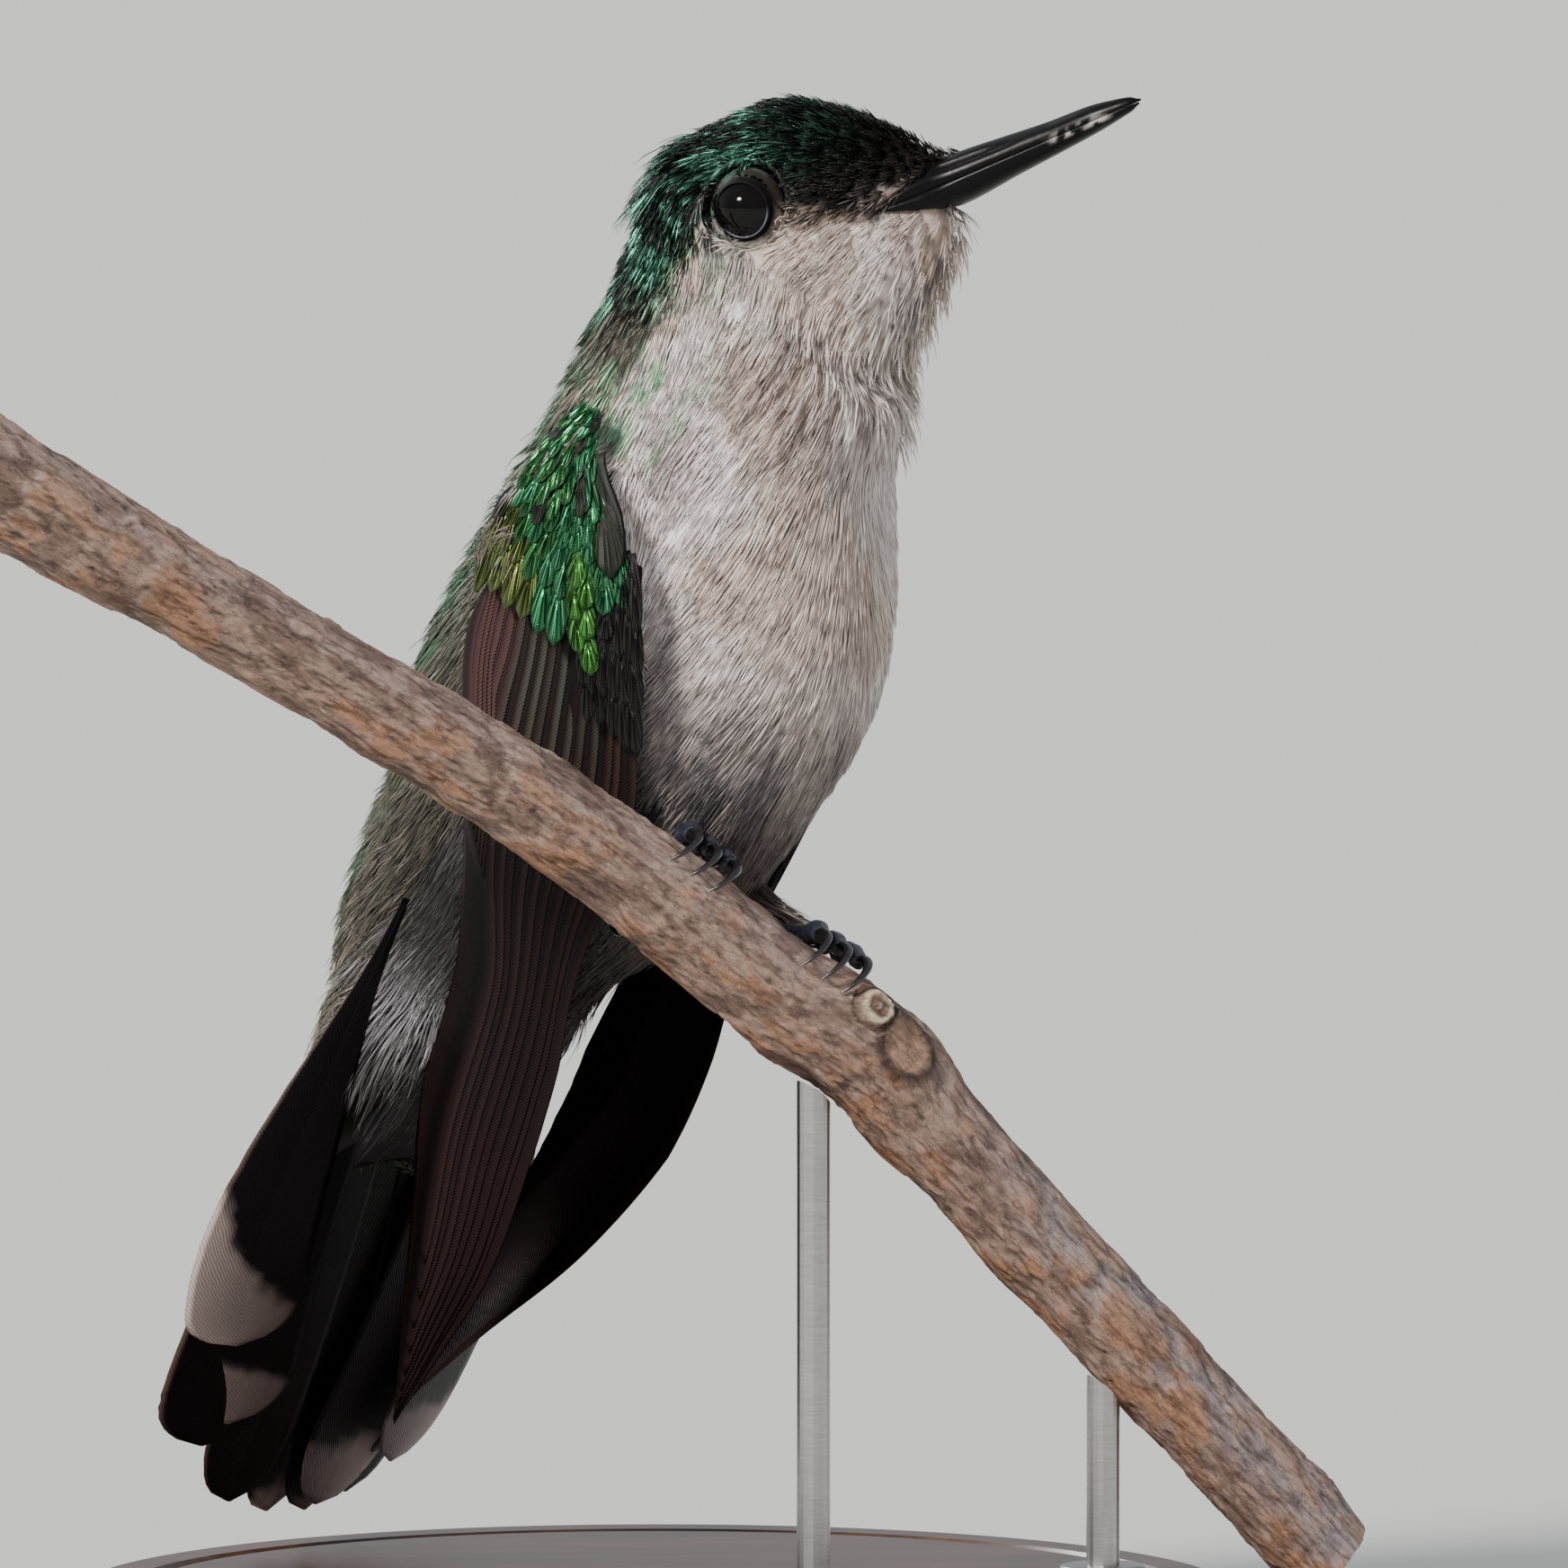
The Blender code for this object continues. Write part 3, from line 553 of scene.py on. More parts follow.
def grained_material(name, roughness, stretch, stops, grain, bump, **values):
    """Material with a stretched noise grain between two colours; stops are places and colours."""
    material, tree, shader = new_material(name, roughness, **values)
    place = add_node(tree, "TexCoord").outputs["Object"]
    if stretch:
        place = add_node(tree, "Mapping", Scale=stretch, Vector=place).outputs[0]
    mask = add_node(tree, "TexNoise", Vector=place, **grain).outputs["Fac"]
    colours = add_node(tree, "ValToRGB", Fac=mask)
    for element, (position, colour) in zip(colours.color_ramp.elements, stops):
        element.position = position
        element.color = (*colour, 1)
    feed(tree, shader, Base_Color=colours.outputs["Color"])
    if bump:
        add_bump(tree, shader, mask, bump, 0.3)
    return material


def loft_arrays(rings, capped=True):
    """Corners and triangles of a tube over rings of equal length, closed by hubs at its ends."""
    count, sides = rings.shape[:2]
    row = np.arange(sides)
    after = (row + 1) % sides
    faces = []
    for low in range(0, (count - 1) * sides, sides):
        high = low + sides
        faces.append(np.stack((low + row, low + after, high + after), -1))
        faces.append(np.stack((low + row, high + after, high + row), -1))
    places = rings.reshape(-1, 3)
    if capped:
        hubs = np.full(sides, count * sides)
        last = (count - 1) * sides
        faces.append(np.stack((after, row, hubs), -1))
        faces.append(np.stack((hubs + 1, last + row, last + after), -1))
        places = np.concatenate((places, rings[[0, -1]].mean(1)))
    return places, np.concatenate(faces)


# ---- skin

def lid_ring(side):
    """Bare ring round one eye, as a closed band that dips into the socket and under the feathers."""
    forward, out, up = EYE_PLACE
    angle = whole_turn(96)
    # distance from the eye's middle, rise over eyeball or head
    profile = [(1.24, 0.0), (1.28, 0.06), (1.32, 0.09), (1.37, 0.08), (1.42, 0.02), (1.47, 0.01), (1.54, 0.0),
               (1.62, -0.04), (1.70, -0.11), (1.85, -0.38), (1.85, -0.75), (1.7, -0.7), (1.4, -0.5)]
    rings = []
    for gap, rise in profile:
        wide = gap * (0.97 + 0.03 * np.cos(angle))
        tall = gap * 1.03
        ahead = forward + wide * np.cos(angle)
        height = up + tall * np.sin(angle)
        ball = out + np.sqrt(np.maximum(EYE_RADIUS ** 2 - gap ** 2, 0.05))
        row = smooth_at(HEAD_ROWS, np.clip(ahead, 0.5, 9.0))
        lift = (height - row[:, 1]) / np.where(height > row[:, 1], row[:, 3], row[:, 4])
        flank = row[:, 2] * np.sqrt(np.clip(1 - lift ** 2, 0.05, 1)) - 0.4
        share = ramp(gap, 1.3, 2.0)
        folds = 0.02 * np.sin(angle * 26 + gap * 9) * ramp(gap, 1.4, 1.6)
        away = ball * (1 - share) + flank * share + rise + folds
        rings.append(head_places(ahead, side * away, height))
    rings.append(rings[0])
    places, faces = loft_arrays(np.array(rings), False)
    return places, faces if side < 0 else faces[:, ::-1]


class HB_OT_skin(Operator):
    """One skin over head, neck, trunk, arms and tail root, with lids round the eyes"""
    bl_idname = "hummingbird.skin"
    bl_label = "Make skin"

    def execute(self, context):
        settings = context.scene.hummingbird_plumage
        quiet()
        flesh = ("trunk", "neck", "head", "tail_base", "wing_r_coverts", "wing_l_coverts")
        joined = bmesh.new()
        for name in flesh:
            joined.from_mesh(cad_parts[name].data)
        bmesh.ops.remove_doubles(joined, verts=joined.verts, dist=1e-6)
        mesh = bpy.data.meshes.new("skin")
        joined.to_mesh(mesh)
        joined.free()
        skin = link_object("skin", mesh)
        swell = 0.3 * MM
        self.add_forehead(skin)
        apply_modifier(skin, "DISPLACE", strength=swell, mid_level=0.0)
        apply_modifier(skin, "REMESH", mode="VOXEL", voxel_size=0.34 * MM)
        apply_modifier(skin, "SMOOTH", factor=0.5, iterations=9)
        self.soften_throat(skin)
        apply_modifier(skin, "DISPLACE", strength=-(swell + settings.coat_depth), mid_level=0.0)
        apply_modifier(skin, "SMOOTH", factor=0.5, iterations=3)
        mesh = skin.data
        mesh.shade_smooth()
        self.flatten_arm(mesh)
        self.carve_gape(mesh)
        lids = bmesh.new()
        lids.from_mesh(mesh)
        for side in (-1, 1):
            places, faces = lid_ring(side)
            corners = [lids.verts.new(place * MM) for place in places]
            for face in faces:
                lids.faces.new([corners[i] for i in face]).smooth = True
        bmesh.ops.remove_doubles(lids, verts=lids.verts, dist=1e-7)
        lids.to_mesh(mesh)
        lids.free()
        places = vertex_places(mesh)
        tint, shimmer = plumage(places)
        spot = SPINE.locate(places)
        tail_root = ramp(-spot["station"], 26.0, 28.5) * ramp(spot["top"], 0.0, 0.3)
        shimmer = shimmer * (1 - tail_root)
        # painted shade: skin darker than the plumage under the feathers, dark green-black under the wing's
        # coverts, and near black as painted shadow in the furrow behind each wing
        tint = layered(tint * 0.85, (paint(22, 25, 23), ramp(spot["excess"], 0.1, 0.5)),
                       (paint(30, 42, 36), tail_root), (paint(9, 9, 9), shadow_line(places)))
        forward, out, up = in_head(places)
        gap = eye_gap(forward, up)
        shimmer = shimmer * ramp(gap, 2.0, 2.6)
        bare = (1 - ramp(gap, 1.48, 1.62)) * (abs(out) > 3.5)
        lower = ramp(EYE_PLACE[2] - up, 0.3, 0.9) * (1 - ramp(gap, 1.29, 1.35))
        ring = layered(paint(13, 10, 11), (paint(96, 98, 114), lower))
        add_attribute(mesh, "tint", "FLOAT_COLOR", layered(tint, (ring, bare)))
        add_attribute(mesh, "shimmer", "FLOAT", shimmer * (1 - bare))
        corners = np.empty(len(mesh.loops), np.int32)
        mesh.loops.foreach_get("vertex_index", corners)
        add_map(mesh, unwrap(places), corners)
        material = tinted_material("Skin", STRANDS, 2600.0, 0.5, 0.6, 0.05, 0.3, Specular_IOR_Level=0.1)[0]
        place_piece(skin, material, "plumage_pale", *flesh)
        return {"FINISHED"}

    def soften_throat(self, skin):
        """Smooth away the crease where throat and neck meet."""
        spot = SPINE.locate(vertex_places(skin.data))
        share = ramp(spot["station"], 8.0, 11.0) * (1 - ramp(spot["station"], 19.0, 22.0))
        share = share * ramp(-spot["top"], -0.3, 0.2)
        group = skin.vertex_groups.new(name="throat")
        for index, weight in enumerate(share.tolist()):
            if weight > 0.01:
                group.add([index], weight, "REPLACE")
        apply_modifier(skin, "SMOOTH", factor=0.5, iterations=60, vertex_group="throat")
        skin.vertex_groups.clear()

    def add_forehead(self, skin):
        """Low wedge of forehead over the base of the bill."""
        quiet()
        bpy.ops.mesh.primitive_uv_sphere_add(segments=24, ring_count=16, radius=1.0)
        wedge = bpy.context.active_object
        axes = np.stack((HEAD_AXIS * 2.7, HEAD_LEFT * 1.25, HEAD_UP * 0.95), 1)
        middle = head_places(8.8, 0.0, BILL_LINE + 0.75)
        places = np.array([vertex.co for vertex in wedge.data.vertices]) @ axes.T + middle
        move_points(wedge.data, places)
        pick(skin)
        wedge.select_set(True)
        bpy.ops.object.join()

    def carve_gape(self, mesh):
        """Draw the face in where the bill's base shows at its sides."""
        places = vertex_places(mesh)
        forward, out, up = in_head(places)
        share = in_gape(forward, up) * (forward < 12.0)
        narrow = np.minimum(np.abs(out), np.interp(forward, (6.5, 8.4, 10.5), (2.6, 1.7, 0.9)))
        shift = (narrow - np.abs(out)) * np.sign(out) * share
        move_points(mesh, places + HEAD_LEFT * shift[:, None])

    def flatten_arm(self, mesh):
        """Let the wing's root sink into the flank where the flight feathers leave it."""
        places = vertex_places(mesh)
        along = in_trunk(places)[2]
        excess = SPINE.locate(places)["excess"]
        sink = np.clip(excess + 0.7, 0.0, 3.0) * ramp(-along, 0.2, 2.2)
        sink = sink * ramp(along, -24.0, -12.0) * (excess > -0.4)
        outward = unit(places - trunk_places(0.0, 0.0, along))
        move_points(mesh, places - outward * sink[:, None])


# ---- coat of tufts

class Surface:
    """Skin points with their normals, for laying feathers along it."""

    def __init__(self, mesh):
        self.places = vertex_places(mesh)
        self.normals = point_values(mesh, "normal")
        self.tree = KDTree(len(self.places))
        for i, place in enumerate(self.places):
            self.tree.insert(place, i)
        self.tree.balance()

    def settle(self, places):
        """Nearest places on the surface, and the normals there."""
        index = np.array([self.tree.find(place)[1] for place in places])
        normal = self.normals[index]
        off = ((places - self.places[index]) * normal).sum(-1, keepdims=True)
        return places - normal * off, normal


def scatter(mesh, wanted, spacing, rng):
    """Evenly spread places on the faces of a mesh that are wanted."""
    mesh.calc_loop_triangles()
    corners = np.empty(len(mesh.loop_triangles) * 3, np.int32)
    mesh.loop_triangles.foreach_get("vertices", corners)
    corners = corners.reshape(-1, 3)
    triangle = vertex_places(mesh)[corners]
    middle = triangle.mean(1)
    corners = triangle[wanted(middle)]
    edge = np.cross(corners[:, 1] - corners[:, 0], corners[:, 2] - corners[:, 0])
    area = np.linalg.norm(edge, axis=1) / 2
    tries = int(area.sum() / spacing ** 2 * 5)
    chosen = rng.choice(len(corners), tries, p=area / area.sum())
    mixed = rng.random((tries, 2))
    flip = mixed.sum(1) > 1
    mixed[flip] = 1 - mixed[flip]
    base = corners[chosen]
    spots = (base[:, 0] + (base[:, 1] - base[:, 0]) * mixed[:, :1] + (base[:, 2] - base[:, 0]) * mixed[:, 1:])
    cells = {}
    kept = []
    keys = np.floor(spots / spacing).astype(int)
    near = (-1, 0, 1)
    for number, (spot, (x, y, z)) in enumerate(zip(spots.tolist(), keys.tolist())):
        around = ((x + i, y + j, z + k) for i in near for j in near for k in near)
        others = (other for cell in around for other in cells.get(cell, ()))
        if all(math.dist(spot, other) >= spacing for other in others):
            cells.setdefault((x, y, z), []).append(spot)
            kept.append(number)
    return spots[kept]


def lie(places):
    """Direction in which the feathers lie: down the body, spreading from throat to sides."""
    spot = SPINE.locate(places)
    station = spot["station"]
    down = -spot["along"]
    spreading = ramp(station, -12.0, 2.0) * (1 - ramp(station, 14.0, 18.0)) * ramp(-spot["top"], -0.3, 0.3)
    sidewards = spot["left"] * (spot["side"] * 0.85 * spreading)[:, None]
    droop = -HEAD_UP * (0.35 * ramp(station, 19.0, 22.0) * ramp(-spot["top"], -0.4, 0.2))[:, None]
    return unit(down + sidewards + droop)


def strand_arrays(paths, normals, half, thick, tint, shimmer, patch):
    """Closed three-sided barbs that end in a point: places, triangles and values of each point.

    paths is barbs x rings x 3; half and thick are barbs x rings.
    """
    barbs, rings = paths.shape[:2]
    across = unit(np.cross(unit(np.gradient(paths, axis=1)), normals))
    body = paths[:, :-1]
    sides = across[:, :-1] * half[:, :-1, None]
    ridge = normals[:, :-1] * thick[:, :-1, None]
    trio = np.stack((body - sides, body + sides, body + ridge), 2).reshape(barbs, -1, 3)
    places = np.concatenate((trio, paths[:, -1:]), 1)
    count = places.shape[1]
    edges = ((0, 2), (2, 1), (1, 0))
    faces = [(0, 1, 2)]
    for low in range(0, 3 * (rings - 2), 3):
        for a, b in edges:
            faces += [(low + a, low + b, low + 3 + b), (low + a, low + 3 + b, low + 3 + a)]
    faces += [(count - 4 + a, count - 4 + b, count - 1) for a, b in edges]
    triangles = (np.arange(barbs)[:, None, None] * count + np.array(faces)[None]).reshape(-1, 3)

    def spread(values):
        repeated = np.repeat(values[:, :-1], 3, axis=1)
        return np.concatenate((repeated, values[:, -1:]), 1).reshape(-1, *values.shape[2:])

    return places.reshape(-1, 3), triangles, spread(tint), spread(shimmer), spread(patch)


class Coat:
    """Collects barbs of many feathers."""

    LIMIT = 190000

    def __init__(self, name, material, slot):
        self.name = name
        self.material = material
        self.slot = slot
        self.parts = []

    def add(self, arrays):
        """Keep one batch of barbs."""
        self.parts.append(arrays)

    def write(self):
        """Make the pieces."""
        batches = [[]]
        size = 0
        for arrays in self.parts:
            if batches[-1] and size + len(arrays[1]) > self.LIMIT:
                batches.append([])
                size = 0
            batches[-1].append(arrays)
            size += len(arrays[1])
        for number, batch in enumerate(batches, 1):
            starts = np.cumsum([0] + [len(arrays[0]) for arrays in batch])
            faces = np.concatenate([arrays[1] + start for arrays, start in zip(batch, starts)])
            places, tint, shimmer, patch = (
                np.concatenate([arrays[i] for arrays in batch]) for i in (0, 2, 3, 4))
            name = self.name if len(batches) == 1 else "%s_%d" % (self.name, number)
            place_piece(triangle_mesh(name, places, faces, tint, shimmer, patch), self.material, self.slot)


FRINGE = paint(172, 156, 138)
BARB_STEPS = np.array((0.0, 0.36, 0.72, 1.0))
BARB_WIDTHS = np.array((0.55, 1.0, 0.8, 0.0))
# the last field holds the painted glints: the share of barbs painted bright, then the lowest and highest
# brightness of dim and of lit ones
Style = namedtuple("Style", "barbs half fan depth streak root_shade ragged rough bend fringe glitter",
                   defaults=(7.0, 0.0, None))


def feather_barbs(lines, normals, width, style, tint, shimmer, roots, rng, fringe=np.zeros(1)):
    """Barbs of feathers whose middle lines are given at evenly spaced stations.

    lines and normals are feathers x stations x 3; width is one value for each feather.
    """
    count, stations = lines.shape[:2]
    barbs, fan = style.barbs, style.fan
    share = np.linspace(-1, 1, barbs)[None] + rng.normal(0, 0.5 / barbs, (count, barbs))
    angle = share * math.radians(82)
    jitter = 1 + rng.normal(0, style.ragged, (count, barbs))
    base_x = fan * (0.05 + 0.42 * np.cos(angle))
    tip_x = ((1 - fan) * (0.80 + 0.2 * np.cos(angle)) + fan * (0.52 + 0.5 * np.cos(angle))) * jitter
    base_y = (1 - fan) * share * 0.22 * width[:, None] + fan * share * 0.05 * width[:, None]
    tip_y = (np.sin(angle) * fan + share * (1 - fan) * 0.9) * width[:, None] / 2
    tip_y = tip_y + rng.normal(0, 0.05, tip_y.shape) * width[:, None]
    x = base_x[..., None] + (tip_x - base_x)[..., None] * BARB_STEPS
    y = base_y[..., None] + (tip_y - base_y)[..., None] * BARB_STEPS ** 0.85
    place = x * (stations - 1)
    index = np.clip(np.floor(place).astype(int), 0, stations - 2)
    part = (place - index)[..., None]
    which = np.arange(count)[:, None, None]
    middle = lines[which, index] * (1 - part) + lines[which, index + 1] * part
    normal = unit(normals[which, index] * (1 - part) + normals[which, index + 1] * part)
    across = unit(np.cross(normal, unit(lines[which, index + 1] - lines[which, index])))
    lift = style.depth * (0.03 + 0.97 * np.clip(x, 0, 1.2) ** 0.8)
    lift = lift + rng.normal(0, style.rough, share.shape)[..., None] * x - y ** 2 / (2 * style.bend)
    paths = middle + across * y[..., None] + normal * lift[..., None]
    tilted = unit(normal + across * rng.normal(0, 0.35, (count, barbs, 1, 1)))
    half = style.half * (1 + rng.normal(0, 0.15, (count, barbs, 1))) * BARB_WIDTHS
    shade = 1 + rng.normal(0, style.streak, (count, barbs, 1, 1))
    # painted glints: a share of barbs painted much brighter, the others darker
    if style.glitter:
        lit_share, *levels = style.glitter
        glinting = rng.random(shade.shape) < lit_share
        dim = shade * rng.uniform(*levels[:2], shade.shape)
        shade = np.where(glinting, rng.uniform(*levels[2:], shade.shape), dim)
    # darker towards each barb's root: partly the grey down at a feather's base, partly painted shade under
    # the feathers lying over it
    down_and_shade = style.root_shade + (1 - style.root_shade) * np.clip(x, 0, 1)[..., None]
    colours = tint[:, None, None, :] * shade * down_and_shade
    rim = style.fringe * ramp(x + 0.25 * (np.abs(share)[..., None] - 0.6), 0.72, 1.0)[..., None]
    colours = np.clip(colours + (FRINGE * shade - colours) * rim * fringe[:, None, None, None], 0.002, 1.0)
    gloss = np.broadcast_to(shimmer[:, None, None], x.shape)
    spread = np.stack((np.clip(y / width[:, None, None], -0.5, 0.5), np.clip(x, 0, 1) - 0.5), -1)
    flat = roots[:, None, None, :] + 0.003 * spread
    by_barb = [values.reshape(count * barbs, *values.shape[2:])
               for values in (paths, tilted, half, 0.8 * half + 0.01, colours, gloss, flat)]
    return strand_arrays(*by_barb)


def middle_lines(surface, roots, length, rng, swerve=0.10):
    """March each feather's middle line over the skin, four stations long."""
    place, normal = surface.settle(roots)
    heading = lie(place) + rng.normal(0, swerve, place.shape)
    lines = [place]
    normals = [normal]
    for _ in range(3):
        heading = unit(heading - normal * (heading * normal).sum(-1, keepdims=True))
        ahead = place + heading * (length / 3)[:, None]
        place, turned = surface.settle(ahead)
        gap = np.linalg.norm(place - ahead, axis=1, keepdims=True)
        place = ahead + (place - ahead) * np.minimum(1.0, 0.6 / np.maximum(gap, 1e-6))
        normal = unit(normal + turned * 1.5)
        lines.append(place)
        normals.append(normal)
        heading = unit(heading + 0.6 * lie(place))
    return np.stack(lines, 1), np.stack(normals, 1)


BATCH = 400                              # feathers whose barbs are worked out at once
# spacing, length and width of the feathers of each part of the coat, and how they are made
COATS = {
    "face": (0.38, 1.3, 0.65, Style(8, 0.036, 0.2, 0.26, 0.2, 0.85, 0.07, 0.03)),
    "crown": (0.41, 1.45, 0.82, Style(12, 0.036, 0.7, 0.4, 0.4, 0.4, 0.14, 0.09,
                                      glitter=(0.22, 0.15, 0.6, 1.3, 2.8))),
    "crest": (0.45, 2.7, 0.8, Style(11, 0.038, 0.3, 1.0, 0.4, 0.4, 0.2, 0.2,
                                    glitter=(0.22, 0.15, 0.6, 1.3, 2.8))),
    "throat": (0.50, 2.2, 1.1, Style(12, 0.038, 0.12, 0.36, 0.2, 0.85, 0.12, 0.04)),
    "chin": (0.52, 1.9, 0.7, Style(8, 0.042, 0.15, 0.85, 0.24, 0.7, 0.2, 0.22)),
    "breast": (0.54, 2.6, 1.3, Style(13, 0.04, 0.08, 0.36, 0.2, 0.85, 0.12, 0.03)),
    "belly": (0.62, 3.6, 1.6, Style(14, 0.042, 0.05, 0.48, 0.42, 0.5, 0.16, 0.08)),
    "back": (0.74, 2.5, 1.6, Style(16, 0.038, 0.5, 0.75, 0.3, 0.55, 0.16, 0.12, fringe=1.0)),
    "vent": (0.66, 3.6, 1.5, Style(12, 0.04, 0.05, 0.65, 0.4, 0.4, 0.2, 0.16)),
}


def shadow_line(places):
    """Mask of the bare furrow between each wing's hind edge and the feathers of the back, where the skin is
    painted near black as shadow.
    """
    left, belly, along = in_trunk(places)
    row = smooth_at(WING_ROWS, np.clip(along, -4.0, 8.8))
    apart = np.abs(belly - row[:, 4] + 0.9)
    furrow = (1 - ramp(apart, 0.5, 0.9)) * ramp(along, 1.0, 2.5)
    return furrow * (1 - ramp(along, 8.4, 9.2)) * (np.abs(left) > 4.0)


def in_gape(forward, up):
    """How far places lie within the bare wedge where the bill leaves the face."""
    line = bill_line(forward)
    above = 0.22 + 0.19 * (forward - 6.6)
    below = 0.10 + 0.48 * (forward - 6.6)
    inside = np.minimum(line + above - up, up - line + below)
    return ramp(inside, -0.2, 0.2) * ramp(forward, 6.3, 6.8)


def coat_region(places):
    """Name of the coat at each place, or nothing where no feather grows."""
    spot = SPINE.locate(places)
    forward, out, up = in_head(places)
    _, belly, along = in_trunk(places)
    station = spot["station"] + 0.9 * ripple(places, 2.5, 41)
    top = spot["top"]
    region = np.full(len(places), "breast", object)
    region[station < -9] = "belly"
    region[(station < -17) & (top < 0.15)] = "vent"
    region[(station > 10.5)] = "throat"
    region[(top - nape_shift(station) > 0.12) & (station <= 13.5)] = "back"
    region[(top > 0.2) & (station > 13.5)] = "crown"
    head = station > 17.5
    cap = up > crown_edge(forward) - 0.1
    region[head & cap] = "crown"
    region[head & ~cap & (station > 19.0)] = "face"
    region[(station > 12.0) & (top < -0.5) & (forward < 9.6)] = "chin"
    region[(station > 15.0) & (forward > -3.4) & (forward < -1.0) & (up > 3.5)] = "crest"
    wing = (spot["excess"] > 0.45) & (station < 12.5)
    open_edge = belly < np.interp(along, (4.0, 5.0, 6.0, 7.0, 8.6), (9.0, 1.0, -0.5, -1.2, -1.5))
    region[wing & (top < 0.3) & open_edge] = ""
    region[wing & (top >= 0.3) & (top - nape_shift(station) > 0.12)] = "back"
    region[shadow_line(places) > 0.5] = ""
    region[station < np.where(top < 0.15, -28.2, np.where(top < 0.45, -27.0, -33.0))] = ""
    region[(eye_gap(forward, up) < 1.41) & (abs(out) > 3.0)] = ""
    region[(in_gape(forward, up) > 0.5) & (abs(out) > 0.6)] = ""
    region[(forward > 11.2) | ((forward > 9.9) & (up < BILL_LINE))] = ""
    return region


class HB_OT_plumage(Operator):
    """Tufts of body feathers over the skin, from the forehead to the tail's root"""
    bl_idname = "hummingbird.plumage"
    bl_label = "Grow body plumage"

    def execute(self, context):
        skin = bpy.data.objects["skin"]
        surface = Surface(skin.data)
        dull = tinted_material("Silky plumage", STRANDS, 2200.0, 0.35, 0.62, 0.05, Sheen_Weight=0.25)[0]
        metal = tinted_material("Shimmering plumage", STRANDS, 2200.0, 0.5, 0.36, 0.05, 0.8)[0]
        for seed, (name, (spacing, length, width, style)) in enumerate(COATS.items(), 21):
            rng = np.random.default_rng(seed)
            roots = scatter(skin.data, lambda spots: coat_region(spots) == name, spacing, rng)
            roots = roots[np.argsort(roots @ TRUNK_LEFT)]
            length = length * (1 + rng.normal(0, 0.12, len(roots)))
            forward, out, up = in_head(roots)
            gap = eye_gap(forward, up) - 1.7
            near_eye = (abs(out) > 2.5) & (forward > EYE_PLACE[0]) & (abs(up - EYE_PLACE[2]) < 1.9)
            length = np.where(near_eye, np.minimum(length, np.maximum(gap * 0.85, 0.35)), length)
            length = np.where(forward > 5.0, length * 0.8, length)
            length = np.where((forward > 8.0) & (up > BILL_LINE), length * 0.75, length)
            lines, normals = middle_lines(surface, roots, length, rng)
            tint, shimmer = plumage(roots)
            tint = tint * (1 + rng.normal(0, 0.10, (len(roots), 1)))
            green = name in ("crown", "crest", "back")
            look = (metal, "plumage_green") if green else (dull, "plumage_pale")
            coat = Coat("plumage_" + name, *look)
            width = width * (1 + rng.normal(0, 0.1, len(roots)))
            flat = unwrap(roots)
            spot = SPINE.locate(roots)
            fringe = 1 - 0.75 * ramp(spot["top"], 0.5, 0.85) * ramp(spot["station"], -22.0, -12.0)
            for start in range(0, len(roots), BATCH):
                cut = slice(start, start + BATCH)
                coat.add(feather_barbs(lines[cut], normals[cut], width[cut], style, tint[cut], shimmer[cut],
                                       flat[cut], rng, fringe[cut]))
            coat.write()
        return {"FINISHED"}


# ---- wings

def clear_of_body(out, belly, along, clearance):
    """Move places outwards until they lie clear of the trunk or the tail's root."""
    low = (along <= -24.0)[:, None]
    rows = np.where(low, smooth_at(RUMP_ROWS, along)[:, [1, 3, 4, 4]], smooth_at(TRUNK_ROWS, along)[:, 1:])
    shift, side, back, front = rows.T
    reach = np.where(belly > shift, front, back) + clearance
    inside = np.hypot(out / (side + clearance), (belly - shift) / reach)
    push = (inside < 1.0) & (along > -34.0)
    inside = np.where(push, np.maximum(inside, 0.2), 1.0)
    return out / inside, shift + (belly - shift) / inside


def wing_place(side, along, share, lift):
    """World places and outward normals on the folded wing, by place down it and share across it."""
    along, share, lift = np.broadcast_arrays(*(np.asarray(value, float) for value in (along, share, lift)))
    shape = along.shape
    along, share, lift = along.ravel(), share.ravel(), lift.ravel()
    if side > 0:
        slide = np.clip((-along - 28.0) / 16.6, 0, 1) * -2.4
    else:
        slide = -0.8 * ramp(-along, 16.0, 30.0)
    lead_out, lead_belly, trail_out, trail_belly = smooth_at(WING_ROWS, along)[:, 1:].T
    lead_belly, trail_belly = lead_belly + slide, trail_belly + slide
    chord = np.hypot(lead_out - trail_out, lead_belly - trail_belly)
    bow = 0.9 * np.minimum(chord / 8.0, 1.0) * np.sin(math.pi * np.clip(share, 0, 1))
    out = lead_out + (trail_out - lead_out) * share + bow
    belly = lead_belly + (trail_belly - lead_belly) * share
    out, belly = clear_of_body(out, belly, along, 0.45)
    slack = ramp(-along, 17.0, 23.0)
    away_belly = (belly + 0.5) * (1 - slack)
    away = unit(np.stack((out * (1 - slack) + slack * 8.0, away_belly), -1))
    thick = 1.3 + (0.75 - 1.3) * ramp(-along, 8.0, 20.0)
    reach = thick + lift
    places = trunk_places(side * (out + away[:, 0] * reach), belly + away[:, 1] * reach, along)
    normals = TRUNK_LEFT * (side * away[:, :1]) - TRUNK_BACK * away[:, 1:]
    return places.reshape(*shape, 3), normals.reshape(*shape, 3)


def chord_at(along):
    """Width of the folded wing across, in millimetres."""
    lead_out, lead_belly, trail_out, trail_belly = smooth_at(WING_ROWS, along)[:, 1:].T
    return np.hypot(lead_out - trail_out, lead_belly - trail_belly)


